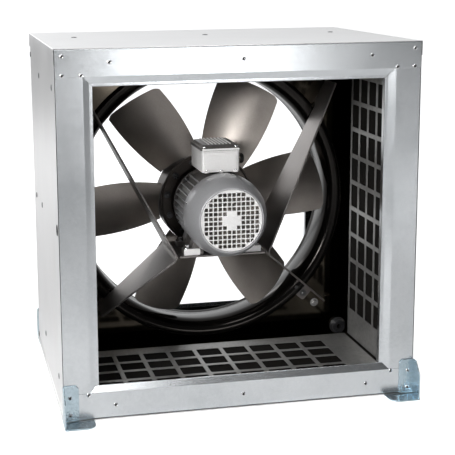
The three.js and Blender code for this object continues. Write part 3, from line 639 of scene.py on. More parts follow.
def cover_and_tray():
    """Top cover with flanges down both sides, and the tray underneath with flanges up."""
    cover = [HEIGHT - COVER_FLANGE, HEIGHT - HEAD, -SKIN * 0.9, "casing_top_cover", "casing_top_panel"]
    tray = [TRAY_FLANGE, 0, SKIN * 0.9, "casing_bottom_tray", "casing_bottom_panel"]
    for flange, face, thickness, name, node_name in (cover, tray):
        path = [(-HALF, flange), (-HALF, face), (HALF, face), (HALF, flange)]
        shape = folded(Shape(), path, thickness, upright, lambda a: (0.2, DEPTH - 0.2), radius=1.6)
        piece(name, shape, "skin", stands_for=node_name)


def blanking_plug():
    """Black plastic plug in the spare cable hole of the left wall."""
    profile = [(0.01, -0.6), (7.5, -0.6), (8.6, 0.2), (9.4, 0.9), (10.8, 0.9), (11.4, 0.3), (11.4, 0),
               (10.2, 0), (10.2, -1.0), (0.01, -1.0)]
    place = facing((HEAD - HALF, *SPARE_HOLE), (-1, 0, 0))
    piece("casing_blanking_plug", Shape().turned(profile, place, 40), "black")


def casing_screws():
    """Pan-head screws through the side walls and the cover."""
    shape = Shape()
    places = [facing((side * (HALF - HEAD), y, z), (side, 0, 0)) for side in (-1, 1) for y, z in SIDE_SCREWS]
    places += [facing((x, PLATE_FRONT - 6, HEIGHT - HEAD), UP) for x in COVER_SCREWS_X]
    for place in places:
        pan_head(shape, place, 6.2, HEAD)
    piece("casing_screws", shape, "dark_steel", sharp=25)


# --- end frames ---


def frame_path(is_sill):
    """Section of a member: u inwards from the outer edge, v into the box. The bottom ends in a short hem."""
    side = FRAME_SIDE + JOINT_GAP
    path = [(side, FRAME_RETURN), (side, 0), (FRAME_FLAT, 0), (FRAME_SLOPE_END, FRAME_SLOPE_DEPTH)]
    if is_sill:
        return path + [(FRAME_SLOPE_END, FRAME_SLOPE_DEPTH + FRAME_HEM)]
    return path + [(FRAME_OPENING, FRAME_SLOPE_DEPTH), (FRAME_OPENING, FRAME_RETURN)]


def frame_member(end, name, place, reach):
    shape = folded(Shape(), frame_path(name == "bottom_rail"), FRAME_T, place, reach, radius=1.8)
    node_name = f"{end}_frame_{name}"
    piece(f"{node_name}_sheet", shape, "galvanised", stands_for=node_name, bevel=0.25)


def end_frame(end):
    """Four folded members, full-width rails above and below, uprights between, mitred on the slope."""
    rear = end == "rear"
    full = HALF - FRAME_SIDE - JOINT_GAP

    def into(v):
        return DEPTH - v if rear else v

    def rail_reach(u):
        half = full if u <= FRAME_FLAT + 0.01 else HALF - u - MITRE_GAP
        return (-half, half)

    def stile_reach(u):
        inset = max(u, FRAME_FLAT) + MITRE_GAP
        return (min(inset, FRAME_SLOPE_END + MITRE_GAP), HEIGHT - inset)

    frame_member(end, "bottom_rail", lambda u, v, s: (s, into(v), u), rail_reach)
    frame_member(end, "top_rail", lambda u, v, s: (s, into(v), HEIGHT - u), rail_reach)
    frame_member(end, "left_stile", lambda u, v, s: (u - HALF, into(v), s), stile_reach)
    frame_member(end, "right_stile", lambda u, v, s: (HALF - u, into(v), s), stile_reach)


def shadow_gap_strip(end):
    """Thin black strip between the frame and the skins, all the way round: painted shadow for the dark joint
    line.
    """
    inner, outer = FRAME_SIDE + JOINT_GAP + GAP, HEAD + LAP + 0.1
    section = [(inner, 0.8), (outer, 0.8), (outer, 5), (inner, 5)]
    rows = []
    for side, top in ((-1, 0), (1, 0), (1, 1), (-1, 1)):
        rows.append([(side * (HALF - u), DEPTH - v if end == "rear" else v, HEIGHT - u if top else u)
                     for u, v in section])
    piece(f"{end}_frame_shadow_gap_strip", Shape().grid(rows, wrap_rows=True, wrap_columns=True), "rubber")


def rim_rivets(end):
    """Blind rivets in the corners and along the rails."""
    y, way = (DEPTH, BACKWARD) if end == "rear" else (0.0, FORWARD)
    spots = [(side * (HALF - a), b) for side in (-1, 1) for a, b in CORNER_RIVETS]
    spots += [(x, RAIL_RIVETS["inset"]) for x in RAIL_RIVETS["x"]]
    places = [facing((x, y, z), way) for x, inset in spots for z in (inset, HEIGHT - inset)]
    rivets(f"{end}_rim_rivets", f"{end}_rim_rivet_hole_shades", places)


# --- lining ---


def liner(side):
    """Slotted sheet steel with its rear edge folded back to the skin."""
    low, high = measured(f"perforated_liner_{side}")
    flat = side in ("bottom", "top")
    face = {"bottom": high.z, "top": low.z, "left": high.x, "right": low.x}[side]
    outward = -1 if side in ("bottom", "left") else 1
    half = high.x - LINER_SLOT if flat else (high.z - low.z) / 2
    middle = face + outward * LINER_T / 2

    def place(a, b, drop=0.0):
        return (a, b, middle + outward * drop) if flat else (middle + outward * drop, b, a + AXIS_Z)

    rear = high.y - LINER_T / 2
    bend = rear - LIP_BEND_R
    shape = slotted(Shape(), half, low.y, bend, FLOOR_ROWS if flat else WALL_ROWS, place)
    lip = arc((bend, LIP_BEND_R), LIP_BEND_R, -90, 0, 4)
    lip.append((rear, high.z - low.z if flat else high.x - low.x))
    for (y0, d0), (y1, d1) in zip(lip, lip[1:]):
        ends = ((y0, d0), (y1, min(d1, LINER_LIP)))
        shape.grid([[place(a, y, d) for a in (-half, half)] for y, d in ends])
    piece(f"slotted_liner_{side}", shape, "liner", stands_for=f"perforated_liner_{side}", bevel=0.2,
          thick=LINER_T)


def lining_board(end, side):
    """Stiff fleece-faced board: rounded edges and a slightly uneven face."""
    node_name = f"{end}_lining_{side}_board"
    low, high = measured(node_name)
    size = high - low
    counts = [max(2, round(length / BOARD_STEP)) for length in size]
    shape = Shape()
    for axis in range(3):
        u, v = (axis + 1) % 3, (axis + 2) % 3
        for end_face in (0, 1):
            share = {axis: end_face}
            shape.grid([[board_point(low, size, {**share, u: i / counts[u], v: j / counts[v]})
                         for j in range(counts[v] + 1)] for i in range(counts[u] + 1)])
    board = piece(f"{end}_{side}_acoustic_board", shape, "board", stands_for=node_name, sharp=60)


def board_point(low, size, share):
    """A point on the board's skin, pulled in at the edges and by a fine unevenness."""
    point = Vector([low[k] + size[k] * share[k] for k in range(3)])
    middle = low + size / 2
    on_edge = sum(1 for k in range(3) if share[k] in (0, 1)) > 1
    uneven = 0.3 + 0.5 * (noise.noise(point * 0.03) + 1) / 2 + 0.3 * (noise.noise(point * 0.11) + 1) / 2
    inset = uneven + (1.6 if on_edge else 0)
    for k in range(3):
        if share[k] in (0, 1):
            point[k] += inset if point[k] < middle[k] else -inset
    return point


# --- bulkhead and bellmouth ---


def bulkhead():
    """Plate across the box with a round opening, and a flange folded forward along all four sides."""
    low, high = measured("bulkhead_plate")
    behind_skin = Vector((2 * SKIN, 0, 2 * SKIN))
    low, high = low + behind_skin, high - behind_skin
    middle, reach = Vector((0, AXIS_Z)), Vector((high.x - 2.5, (high.z - low.z) / 2 - 2.5))
    turns = [2 * math.pi * (i + 0.5) / 96 for i in range(96)]
    rear = PLATE_FRONT + PLATE_T
    shape = Shape()
    pierced(shape, middle, PLATE_HOLE_R, middle - reach, middle + reach, turns, upright, PLATE_FRONT, rear)
    path = [(0, low.y), (0, rear), (8, rear)]
    for edge, k in ((low.x, -1), (high.x, 1)):
        folded(shape, path, -PLATE_T, lambda a, b, s: (edge - k * a, b, s), lambda a: (low.z, high.z), 2.6)
    for edge, k in ((low.z, -1), (high.z, 1)):
        folded(shape, path, -PLATE_T, lambda a, b, s: (s, b, edge - k * a), lambda a: (low.x, high.x), 2.6)
    piece("bulkhead_sheet", shape, "bulkhead", stands_for="bulkhead_plate", bevel=0.3)


def bellmouth():
    """Spun ring: rolled lip, quarter-ellipse flare, straight throat and a stiffened rear edge."""
    lip_y = THROAT_START - BELL_AXIAL
    lip_r = THROAT_R + BELL_RADIAL
    path = [(lip_r + BEAD_R, lip_y + BEAD_R + 3)]
    path += arc((lip_r, lip_y + BEAD_R), BEAD_R, 0, -90, 10)
    for step in range(1, 19):
        angle = math.radians(90 * (1 - step / 18))
        path.append((lip_r - BELL_RADIAL * math.cos(angle), THROAT_START - BELL_AXIAL * math.sin(angle)))
    path += [(THROAT_R, RING_REAR - 16), (THROAT_R + 1.2, RING_REAR - 13), (THROAT_R + 1.2, RING_REAR - 9),
             (THROAT_R, RING_REAR - 6), (THROAT_R, RING_REAR)]
    shape = Shape().turned(thickened(path, -RING_T), segments=160)
    piece("bellmouth_spun_ring", shape, "ring", stands_for="bellmouth_ring")


def bulkhead_hardware():
    """Bolts of the ring's clamps and rim, and the screw that stands out of the liner's edge."""
    bolts = Shape()
    for x in (CLAMP_BOLT[0], -CLAMP_BOLT[0]):
        hex_head(bolts, facing((x, PLATE_FRONT, CLAMP_BOLT[1]), FORWARD), 13, 6, washer=10)
    for step in range(8):
        centre = around_axis(PLATE_HOLE_R + 24, 22.5 + 45 * step, PLATE_FRONT + PLATE_T)
        hex_head(bolts, facing(centre, BACKWARD), 10, 5, washer=8)
    piece("bulkhead_bolts", bolts, "steel", bevel=0.3)
    profile = [(0.01, 0), (3.2, 0), (3.6, 1), (3.6, 12), (2.6, 12.6), (0.01, 12.6)]
    pin = Shape().turned(profile, facing((333, PLATE_FRONT - 84, 100), (-1, 0, 0)), 20)
    piece("liner_edge_screw", pin, "steel")


def grommet():
    """Rubber sleeve with two round beads and a thin membrane lip."""
    bore, hole, collar = 6, GROMMET["hole"] - GAP, GROMMET["collar"]
    face = PLATE_FRONT - GAP
    front, back = face - GROMMET["reach"], face + PLATE_T + 2.3
    path = [(bore, front), (hole - 1, front), *arc((hole + 1.5, face - 13), 3, -90, 60, 6),
            (hole + 2, face - 9), *arc((collar - 3, face - 4), 3, -90, 60, 6), (collar - 1.5, face),
            (hole, face), (hole, back), (bore, back)]
    shape = Shape().turned(path, facing((GROMMET["x"], 0, GROMMET["z"]), BACKWARD), 40)
    piece("bulkhead_rubber_grommet", shape, "rubber", stands_for="bulkhead_cable_grommet")


# --- motor support ---


def arm_path():
    """Centre line of an arm in (x, z), rounded where it bends, as close samples."""
    bend = rounded([tuple(ARM_TOP), tuple(ARM_VERTEX), tuple(ARM_BOTTOM)], ARM_BEND_R, 10)
    path = []
    for a, b in zip(bend, bend[1:]):
        count = max(1, round((Vector(b) - Vector(a)).length / 8))
        path += [tuple(Vector(a).lerp(Vector(b), i / count)) for i in range(count)]
    return path + [bend[-1]]


def arm_edges(x, z):
    """Front and rear Y of an arm at a point of its centre line."""
    slope = ARM_RISE * (z - ARM_VERTEX.y) if z > ARM_VERTEX.y else ARM_FALL * (ARM_VERTEX.y - z)
    inside = math.hypot(x, z - AXIS_Z) < RING_CLEAR_R
    return ARM_FRONT + slope, ARM_REAR if inside else PLATE_FRONT - GAP


def motor_arm(side):
    """Bent flat bar, tapering towards its ends, with a tab on the bulkhead at each end."""
    name = "right" if side > 0 else "left"
    path = arm_path()
    outline = thickened(path, ARM_T)
    count = len(path)
    rows = []
    for i, (x, z) in enumerate(path):
        front, rear = arm_edges(x, z)
        ox, oz = outline[2 * count - 1 - i]
        section = ((x, z, front), (x, z, rear), (ox, oz, rear), (ox, oz, front))
        rows.append([(side * a, y, b) for a, b, y in section])
    shape = Shape().tube(rows)
    arm_tab(shape, side, ARM_TOP, f"{name}_upper", 0)
    arm_tab(shape, side, ARM_BOTTOM, f"{name}_lower", ARM_T)
    piece(f"motor_support_arm_{name}", shape, "support", stands_for=f"motor_arm_{name}", bevel=0.6)


def arm_tab(shape, side, end, name, overlap):
    """Fixing tab along the outer part of a strip, with two hexagon bolts in it."""
    along = (end - ARM_VERTEX).normalized()
    across = Vector((-along.y, along.x))
    face = PLATE_FRONT - GAP

    def place(a, b, s):
        point = end + along * a + across * b
        return (side * point.x, s, point.y)

    shape.prism(rectangle(-TAB_LENGTH, 0, -TAB_WIDTH, overlap, 6, 5), place, face - ARM_T, face)
    bolts = Shape()
    for spot in TAB_BOLTS:
        hex_head(bolts, facing(place(*spot, face - ARM_T), FORWARD), 10, 5, washer=8)
    piece(f"arm_tab_bolts_{name}", bolts, "dark_steel", bevel=0.3)


def cradle():
    """Flat plate under the motor, between the arms."""
    low, high = measured("motor_cradle_plate")
    shape = Shape().prism(rectangle(low.x, high.x, low.y, high.y, 5, 4), level, low.z, high.z)
    piece("motor_cradle_sheet", shape, "support", stands_for="motor_cradle_plate", bevel=0.6)


# --- motor ---


def motor_body():
    """Finned barrel with feet."""
    profile = [(BORE_R, BODY_FRONT), (BODY_R - 1, BODY_FRONT), (BODY_R, BODY_FRONT + 1.5),
               (BODY_R, BODY_REAR - 1.5), (BODY_R - 1, BODY_REAR), (BORE_R, BODY_REAR)]
    shape = Shape().turned(profile, segments=96)
    motor_feet(shape)
    piece("motor_barrel", shape, "motor", stands_for="motor_frame", bevel=0.5)
    side = [(BODY_R - 1, BODY_FRONT + 2), (BODY_R - 1, BODY_REAR - 2), (FIN_R - 1, BODY_REAR - 4),
            (FIN_R, BODY_REAR - 7), (FIN_R, BODY_FRONT + 4)]
    fins = Shape()
    for i in range(FINS):
        angle = 360 * i / FINS
        under_box = 62 < angle < 118
        over_feet = 225 < angle < 315 and abs(angle - 270) > 28
        if not under_box and not over_feet:
            fins.vane(-math.radians(angle), side, lambda r: 1.5 if r < BODY_R else 0.9)
    # The fins take the lighter cowl paint while the barrel is dark: painted highlight for the lit fin tips.
    piece("motor_fins", fins, "cowl", bevel=0.3)


def motor_feet(shape):
    """Four pads with webs up to the barrel."""
    outline = rounded([(42, 0), (85, 0), (85, 12), (68, 13), (60, 40), (44, 44)], 2.5, 3, closed=True)
    for side in (-1, 1):
        for y0 in (BODY_FRONT + 2, BODY_REAR - 34):
            shape.prism(outline, lambda a, b, s: (side * a, s, FOOT_Z + b), y0, y0 + 30)


def motor_foot_bolts():
    """A bolt on each pad, and light plates on the front faces of the front pads as a painted highlight."""
    bolts, faces = Shape(), Shape()
    for side in (-1, 1):
        for y in (BODY_FRONT + 17, BODY_REAR - 19):
            hex_head(bolts, facing((side * 76, y, FOOT_Z + 12), UP), 13, 7, washer=10)
        faces.prism(rectangle(50, 86, 0, 14, 2, 3), lambda a, b, s: (side * a, s, FOOT_Z + b),
                    BODY_FRONT - 1.5, BODY_FRONT + 1.4)
    piece("motor_foot_bolts", bolts, "steel", bevel=0.4)
    # Light plates on the pads' front faces: painted highlight.
    piece("motor_foot_front_highlights", faces, "light_paint", bevel=0.5)


def end_shields():
    """Drive-end shield with stiffening ribs, and the through bolts at both ends."""
    y = BODY_REAR + GAP
    rim, bore = FIN_R - 2, BEARING_R + GAP
    profile = [(bore, y), (rim, y), (rim, y + 8), (rim - 1, y + 9.5), (rim - 10, y + 11), (56, y + 13),
               (40, y + 15), (34, y + 19), (bore, y + 19)]
    drive = Shape().turned(profile, segments=96)
    side = [(36, y + 8), (rim - 9, y + 8), (rim - 9, y + 11), (36, y + 16)]
    for step in range(8):
        drive.vane(-math.radians(22.5 + 45 * step), side, lambda r: 2)
    piece("motor_drive_end_casting", drive, "motor", stands_for="motor_drive_end_shield", bevel=0.5)
    bolts = Shape()
    for step in range(4):
        for way, front in ((BACKWARD, y + 9), (FORWARD, BODY_REAR - 3)):
            hex_head(bolts, facing(around_axis(rim * 0.93, 45 + 90 * step, front), way), 9, 5, washer=7)
    piece("motor_shield_bolts", bolts, "dark_steel", bevel=0.3)


def fan_cowl():
    """Pressed cowl: flat front rim, long conical shoulder and a beaded rear edge."""
    behind = [(GRILLE_R + 0.6, 0), (70, 0), (76, 10), (82.5, 25), (87, 41), (COWL_R, 56), (COWL_R, 74)]
    path = rounded([(r, COWL_FRONT + y) for r, y in behind], 40, 6)
    path += [(COWL_R - 0.9, COWL_REAR - 5), (COWL_R - 0.9, COWL_REAR)]
    shape = Shape().turned(thickened(path, 1.6), segments=128)
    piece("motor_fan_cowl_pressing", shape, "cowl", stands_for="motor_fan_cowl")
    screws = Shape()
    for angle in (20, 90, 160, 270):
        turn = math.radians(angle)
        ray = Vector((math.cos(turn), 0, math.sin(turn)))
        centre = CENTRE + ray * (COWL_R - 1) + Vector((0, COWL_REAR - 16, 0))
        pan_head(screws, facing(centre, ray), 3.6, 1.4)
    piece("motor_cowl_screws", screws, "steel", sharp=25)


def cowl_grille():
    """Pierced disc: square holes on a 10 mm grid around a plain centre, inside a raised rim."""
    pitch, half, reach = 10, 3.85, 7
    front = COWL_FRONT + 1.4

    def place(a, b):
        return (a, front, AXIS_Z + b)

    disc = Shape()
    for i in range(-reach, reach):
        for j in range(-reach, reach):
            x, z = (i + 0.5) * pitch, (j + 0.5) * pitch
            away = math.hypot(x, z)
            cell = (x - pitch / 2, x + pitch / 2, z - pitch / 2, z + pitch / 2)
            if 19 < away < 64.5:
                slotted_cell(disc, cell, (x, z), (half, half), place, 0.5, 1)
            elif away < 72:
                disc.grid([[place(a, b) for a in cell[:2]] for b in cell[2:]])
    trim(disc, GRILLE_R - 0.6)
    piece("motor_cowl_pierced_disc", disc, "light_paint", stands_for="motor_cowl_grille", thick=0.9)
    inner = GRILLE_R - 2.4
    rim = [(inner, front - 0.2), (inner + 0.6, front - 0.9), (GRILLE_R - 0.8, front - 0.9),
           (GRILLE_R, front - 0.2), (GRILLE_R, front + 0.9), (inner, front + 0.9)]
    piece("motor_cowl_disc_rim", Shape().turned(rim, segments=96), "light_paint")


def trim(shape, limit):
    """Pulls every point outside that radius back to it."""
    for point in shape.points:
        x, z = point.x, point.z - AXIS_Z
        away = math.hypot(x, z)
        if away > limit:
            point.x, point.z = x * limit / away, AXIS_Z + z * limit / away


def cooling_fan():
    """Fan behind the grille, with straight vanes on a disc."""
    low, high = measured("motor_cooling_fan")
    front, back = low.y, high.y
    profile = [(10, front), (18, front), (20, front + 2), (20, back - 5), (24, back - 3.5), (76, back - 3.5),
               (78, back - 2.5), (78, back), (10, back)]
    shape = Shape().turned(profile, segments=72)
    side = [(18, front + 2), (70, front + 2), (76, front + 8), (76, back - 2), (18, back - 2)]
    for i in range(COOLING_VANES):
        shape.vane(2 * math.pi * i / COOLING_VANES, side, lambda r: 1.3)
    piece("motor_cooling_fan_moulding", shape, "plastic", body="rotor", stands_for="motor_cooling_fan",
          bevel=0.5)


def terminal_box():
    """Cast box with a raised front panel and screwed pads under it. Its lid and gland are made after it."""
    low, high = TERMINAL_LOW, TERMINAL_HIGH
    y0, y1 = low.y, high.y
    outline = rectangle(low.x, high.x, y0, y1, 6, 5)
    inner = rectangle(low.x + 3, high.x - 3, y0 + 3, y1 - 3, 4, 5)
    middle = Vector((0, (y0 + y1) / 2))

    def ring(points, z, grow=0.0):
        return [(*(Vector(p) + (Vector(p) - middle).normalized() * grow), z) for p in points]

    base = Shape().tube([ring(outline, low.z, -1.2), ring(outline, low.z + 2), ring(outline, high.z - 4),
                         ring(outline, high.z - 3, 1.2), ring(outline, high.z, 1.2), ring(inner, high.z),
                         ring(inner, low.z + 4)])
    base.prism(rectangle(-34, 34, low.z + 6, high.z - 9, 3, 4), upright, y0 - 1.6, y0 + 1)
    screws = Shape()
    for x in (-32, 0, 32):
        base.prism(rectangle(x - 5, x + 5, y0 - 5, y0 + 4, 2, 4), level, low.z, low.z + 4)
        pan_head(screws, facing((x, y0 - 2, low.z + 4), UP), 2.6, 1.8)
    piece("terminal_box_base_screws", screws, "steel", sharp=25)
    piece("terminal_box_casting", base, "light_paint", stands_for="terminal_box_base", bevel=0.5)
    terminal_lid()
    cable_gland()


def terminal_lid():
    """Lid with a lip, a hipped crown, ribs across it and a front edge, the ribs and edge in light paint as
    painted highlights.
    """
    low, top = measured("terminal_box_lid")
    z0 = low.z
    outline = rectangle(low.x, top.x, low.y, top.y, 7, 5)
    middle = Vector(((low.x + top.x) / 2, (low.y + top.y) / 2))
    crown = z0 + 12
    levels = ((0.99, z0), (1.0, z0 + 1), (1.0, z0 + 5), (0.97, z0 + 6.5), (0.93, z0 + 7), (0.84, crown))
    rows = [[(*(middle + (Vector(p) - middle) * scale), z) for p in outline] for scale, z in levels]
    lid = Shape().tube(rows)
    piece("terminal_box_pressed_lid", lid, "motor", stands_for="terminal_box_lid", bevel=0.5)
    ribs = Shape()
    side = [(low.y + 10, z0 + 7), (low.y + 14, crown + 2.6), (top.y - 14, crown + 2.6), (top.y - 10, z0 + 7)]
    for i in range(-3, 4):
        ribs.tube([[(i * 8 + s, a, b) for a, b in side] for s in (-0.9, 0.9)])
    # Light-painted ribs on the dark lid: painted highlights on the rib tops.
    piece("terminal_lid_rib_highlights", ribs, "light_paint", bevel=0.3)
    strip = rectangle(low.x + 3, top.x - 3, z0 + 0.6, z0 + 5, 1.5, 3)
    edge = Shape().prism(strip, upright, low.y - 0.01, low.y + 2)
    # Light strip on the lid's front edge: painted highlight.
    piece("terminal_lid_front_edge_highlight", edge, "light_paint", bevel=0.3)
    screws = Shape()
    for x in (low.x + 9, top.x - 9):
        for y in (low.y + 8, top.y - 8):
            pan_head(screws, facing((x, y, z0 + 6.6), UP), 5, 3)
    piece("terminal_lid_screws", screws, "steel", sharp=25)


def cable_gland():
    """Hexagon gland body, its cap and the seal in it."""
    low, high = measured("terminal_box_gland")
    centre = (low + high) / 2
    place = facing((TERMINAL_HIGH.x + GAP, centre.y, centre.z), RIGHT)
    body = Shape()
    hex_head(body, place, 24, 6)
    piece("terminal_gland_body", body, "brass", bevel=0.4)
    profile = [(0.01, 0), (10.6, 0), (11, 0.6), (11, 6), (9.4, 9), (5.4, 10), (5.2, 8), (0.01, 8)]
    cap = Shape().turned(profile, place @ Matrix.Translation((0, 0, 6)), 32)
    piece("terminal_box_cable_gland", cap, "black", stands_for="terminal_box_gland", bevel=0.4)


# --- impeller ---


def blade_point(u, v, w):
    """Where a point of the blade lies: u across the chord, v out from the hub, w through the thickness."""
    root = HUB_R + 2 * GAP
    radius = root + v * (TIP_R - root)
    leading = LEADING_ROOT + LEADING_SWEEP * v**LEADING_POWER
    trailing = TRAILING_ROOT - TRAILING_SWEEP * v
    rear = BLADE_REAR_ROOT + v * (BLADE_REAR_TIP - BLADE_REAR_ROOT)
    angle = math.radians(leading + u * (trailing - leading))
    arc_length = math.radians(trailing - leading) * radius
    pitch = math.atan2(rear - BLADE_FRONT, arc_length)
    bulge = 4 * u * (1 - u)
    half = w * (BLADE_T / 2) * (0.3 + 0.7 * bulge) * (1 - 0.35 * v)
    turn = angle - half * math.sin(pitch) / radius
    y = BLADE_FRONT + u * (rear - BLADE_FRONT) - BLADE_CAMBER * bulge + half * math.cos(pitch)
    return Vector((radius * math.cos(turn), y, radius * math.sin(turn)))


def rounded_corners(u, v):
    """Pulls the blade's outline in at its four corners, so that they are round."""
    depth = 0.035
    near_tip = max(0.0, 1 - (1 - v) / 0.08) ** 2
    near_edge = max(0.0, 1 - min(u, 1 - u) / 0.1) ** 2
    return v - depth * near_tip * near_edge


def blade(index):
    """A closed, cambered blade, thinner towards its tip and its two edges."""
    across, out = 28, 26
    turn = Matrix.Rotation(-math.radians(BLADE_PHASE + 360 * index / BLADES), 3, "Y")
    loop = [(1, i) for i in range(across + 1)] + [(-1, i) for i in range(across, -1, -1)]
    rows = []
    for j in range(out + 1):
        ring = []
        for w, i in loop:
            u = (1 - math.cos(math.pi * i / across)) / 2
            ring.append(turn @ blade_point(u, rounded_corners(u, j / out), w) + CENTRE)
        rows.append(ring)
    shape = Shape().grid(rows, wrap_columns=True)
    width = len(loop)
    for start in (0, out * width):
        shape.faces += [(start + i, start + i + 1, start + width - 2 - i, start + width - 1 - i)
                        for i in range(across)]
    name = f"impeller_blade_{index + 1}"
    piece(f"{name}_casting", shape, "blade", body="rotor", stands_for=name, bevel=0.5, sharp=50)


def hub():
    """Cast hub: rim, web with ribs, and boss on the shaft."""
    web = (HUB_FRONT + HUB_REAR) / 2 - 8
    rim, bore = HUB_R - 5, SHAFT_R + GAP
    shape = Shape().turned([
        (bore, web - 14), (25, web - 14), (27, web - 11), (28, web), (76, web), (80, web - 4),
        (80, HUB_FRONT + 5), (82, HUB_FRONT + 3), (rim, HUB_FRONT + 3), (rim + 1.5, HUB_FRONT),
        (HUB_R - 1, HUB_FRONT), (HUB_R, HUB_FRONT + 1.5), (HUB_R, HUB_REAR - 1.5), (HUB_R - 1, HUB_REAR),
        (rim + 1.5, HUB_REAR), (rim + 0.6, HUB_REAR - 1), (rim, web + 12), (rim - 6, web + 7), (28, web + 7),
        (26, web + 18), (24, web + 20), (bore, web + 20),
    ], segments=96)
    side = [(26, web + 6), (rim + 1, web + 6), (rim + 1, HUB_REAR - 6), (60, web + 16), (26, web + 17)]
    for i in range(HUB_RIBS):
        shape.vane(2 * math.pi * i / HUB_RIBS, side, lambda r: 2.2)
    piece("impeller_hub_casting", shape, "hub", body="rotor", stands_for="impeller_hub", bevel=0.6)
    hub_bolts(web)


def hub_bolts(web):
    """Two bolts behind each blade's root, twelve on the front rim, and the clamp disc's bolt."""
    bolts = Shape()
    for i in range(BLADES):
        for offset in (-11, 11):
            centre = around_axis(ROOT_BOLT_R, BLADE_PHASE + 360 * i / BLADES + offset, web + 7)
            hex_head(bolts, facing(centre, BACKWARD), 10, 5, washer=8)
    for i in range(2 * BLADES):
        centre = around_axis(RIM_BOLT_R, BLADE_PHASE + 180 * (i + 0.5) / BLADES, HUB_FRONT + 3)
        hex_head(bolts, facing(centre, FORWARD), 10, 4, washer=7.5)
    disc_rear = measured("impeller_clamp_disc")[1].y
    hex_head(bolts, facing((0, disc_rear - 0.6, AXIS_Z), BACKWARD), 13, 0.6)
    piece("impeller_root_bolts", bolts, "dark_steel", body="rotor", bevel=0.3)


# --- feet ---


def foot(corner):
    """Pressed bracket: face flange, outer wing and ground plate, in one bent sheet."""
    low, high = measured(f"foot_{corner}")
    side = 1 if high.x > 0 else -1
    rear = low.y > DEPTH / 2
    edge, back = HALF, GAP + FOOT_T

    def place(x, y, z):
        return (side * x, DEPTH + y if rear else -y, z)

    inner = edge - FOOT_FLANGE
    flange = [(inner, 1.5), (inner, 70), (inner + 6, FOOT_HEIGHT), (edge - 2, FOOT_HEIGHT), (edge - 2, 1.5)]
    shape = Shape().prism(rounded(flange, 2, 3, closed=True), lambda a, b, s: place(a, s, b), GAP, back)
    wing = [(GAP, -back), (FOOT_WING, -back), (FOOT_WING, 50), (16, FOOT_HEIGHT), (GAP, FOOT_HEIGHT)]
    shape.prism(rounded(wing, 4, 5, closed=True), lambda a, b, s: place(s, a, b), edge - FOOT_T, edge)
    ground = rectangle(edge, edge - 64, -28, 42, 3, 3)
    bent = [p for p in ground if not (p[0] < edge - 42 and p[1] > 20)]
    start = next(i for i, p in enumerate(bent) if p[1] > 20)
    bent[start:start] = arc((edge - 42, 20), 22, 180, 90, 10)
    shape.prism(bent, place, -back, -GAP)
    piece(f"foot_bracket_{corner}", shape, "zinc", stands_for=f"foot_{corner}", bevel=0.7)
    way = BACKWARD if rear else FORWARD
    spots = [facing(place(edge - 15, back, z), way) for z in FOOT_RIVETS_Z]
    rivets(f"foot_rivets_{corner}", f"foot_rivet_hole_shades_{corner}", spots)


# --- stage ---


def studio():
    """Pale floor, white surround that is dimmer in front, and a few soft boxes."""
    scene = bpy.context.scene
    scene.view_settings.view_transform = "Standard"
    world = bpy.data.worlds.new("studio")
    scene.world = world
    world.use_nodes = True
    around = world.node_tree.nodes["Background"]
    around.inputs["Color"].default_value = (0.98, 0.99, 1, 1)
    direction = node(world, "TexCoord").outputs["Generated"]
    behind = node(world, "VectorMath", {0: direction, 1: SURROUND_TURN}, operation="DOT_PRODUCT")
    strength = spread(world, behind.outputs["Value"], *SURROUND_FADE, SURROUND_FRONT, SURROUND_REAR)
    world.node_tree.links.new(strength, around.inputs["Strength"])
    seen = node(world, "Background", {"Color": (1, 1, 1, 1), "Strength": 1.0})
    direct = node(world, "LightPath").outputs["Is Camera Ray"]
    mix = node(world, "MixShader", {0: direct, 1: around.outputs[0], 2: seen.outputs[0]})
    world.node_tree.links.new(mix.outputs[0], world.node_tree.nodes["World Output"].inputs[0])
    floor()
    # Name, place, target, width and height in metres, watts and the angle of the beam.
    soft_box("key", (-2.3, -2.3, 2.5), (0, 0, 0.4), 1.2, 1.2, 6, 70)
    soft_box("side", (-2.3, -2.5, 1.35), (0.1, 0.2, 0.45), 0.9, 0.8, 9, 60)
    soft_box("front_top", (-0.1, -2.3, 2.6), (0, 0, 0.3), 0.7, 0.5, 1.0, 60)
    soft_box("rail_glow", (0.55, -3.0, 0.5), (0, 0, 0.72), 0.7, 0.36, 4.2, 180)
    soft_box("right_floor", (1.5, -2.2, 1.5), (1.5, -2.2, 0), 0.8, 0.8, 6, 80)
    soft_box("apron", (0.1, -0.4, 1.3), (0.1, -0.4, 0), 1.0, 0.4, 1.3, 80)
    soft_box("rear_floor", (-1.4, 3.0, 1.8), (-1.4, 3.0, 0), 1.8, 2.4, 40, 180)


def floor():
    """A sheet of white paper, lifted to pure white where the camera sees it directly."""
    mesh = bpy.data.meshes.new("floor")
    corners = [(-1, -1), (1, -1), (1, 1), (-1, 1)]
    mesh.from_pydata([(x * FLOOR, y * FLOOR, 0) for x, y in corners], [], [(0, 1, 2, 3)])
    paper = surface("floor_paper", (0.84, 0.84, 0.84), (0.88, 0.88, 0.88), 0.0, (0.8, 0.9), bump=0.00002)
    shader = paper.node_tree.nodes["Principled BSDF"]
    shader.inputs["Emission Color"].default_value = (1, 1, 1, 1)
    direct = node(paper, "LightPath").outputs["Is Camera Ray"]
    lift = maths(paper, "MULTIPLY", direct, FLOOR_LIFT)
    paper.node_tree.links.new(lift, shader.inputs["Emission Strength"])
    mesh.materials.append(paper)
    made = bpy.data.objects.new("floor", mesh)
    bpy.context.scene.collection.objects.link(made)
    made.location.z = cad_low.z - 0.0005


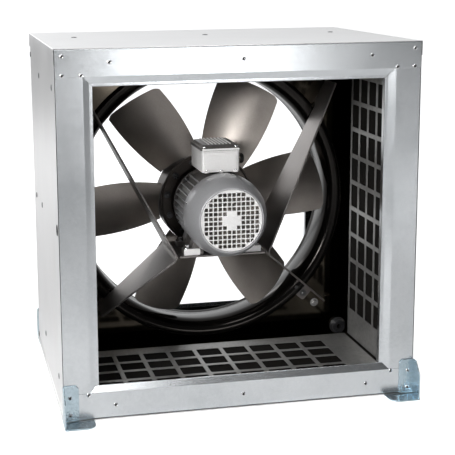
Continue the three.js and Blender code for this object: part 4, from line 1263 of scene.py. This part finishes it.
def soft_box(name, place, target, width, height, power, beam):
    light = bpy.data.lights.new(name, "AREA")
    light.shape = "RECTANGLE"
    light.size, light.size_y = width, height
    light.energy = power
    light.spread = math.radians(beam)
    made = bpy.data.objects.new(name, light)
    made.location = place
    made.rotation_euler = (Vector(target) - Vector(place)).to_track_quat("-Z", "Y").to_euler()
    made.visible_camera = False
    bpy.context.scene.collection.objects.link(made)


def camera():
    """Standing to the left, a little above the fan, looking down and to the right."""
    data = bpy.data.cameras.new("camera")
    data.lens = CAMERA["lens"]
    data.shift_x, data.shift_y = CAMERA["shift"], -CAMERA["shift"]
    made = bpy.data.objects.new("camera", data)
    heading, drop, roll = (math.radians(CAMERA[a]) for a in ("heading", "drop", "roll"))
    upward = Matrix.Rotation(math.pi / 2 - drop, 3, "X") @ Matrix.Rotation(-roll, 3, "Z")
    turn = Matrix.Rotation(-heading, 3, "Z") @ upward
    made.matrix_world = Matrix.Translation(CAMERA["place"]) @ turn.to_4x4()
    bpy.context.scene.collection.objects.link(made)
    bpy.context.scene.camera = made


# --- assembly ---

camera()
studio()

side_skin(False)
side_skin(True)
cover_and_tray()
casing_screws()
blanking_plug()
SIDES = ("bottom", "top", "left", "right")
for end in ("front", "rear"):
    end_frame(end)
    shadow_gap_strip(end)
    rim_rivets(end)
    for side in SIDES:
        lining_board(end, side)
for side in SIDES:
    liner(side)

bulkhead()
bellmouth()
bulkhead_hardware()
grommet()
motor_arm(1)
motor_arm(-1)
cradle()

motor_body()
motor_foot_bolts()
end_shields()
fan_cowl()
cowl_grille()
cooling_fan()
terminal_box()
dress("motor_fan_end_shield", "motor", 0.5)
for name in ("motor_bearing_drive_end", "motor_bearing_fan_end", "motor_shaft"):
    dress(name, "steel", 0.5)
for name in ("stator_core", "rotor_core"):
    dress(name, "core")
dress("stator_winding", "copper")
dress("terminal_board", "black", 0.4)

hub()
dress("impeller_clamp_disc", "steel", 0.5)
for index in range(BLADES):
    blade(index)
for corner in ("front_left", "front_right", "rear_left", "rear_right"):
    foot(corner)
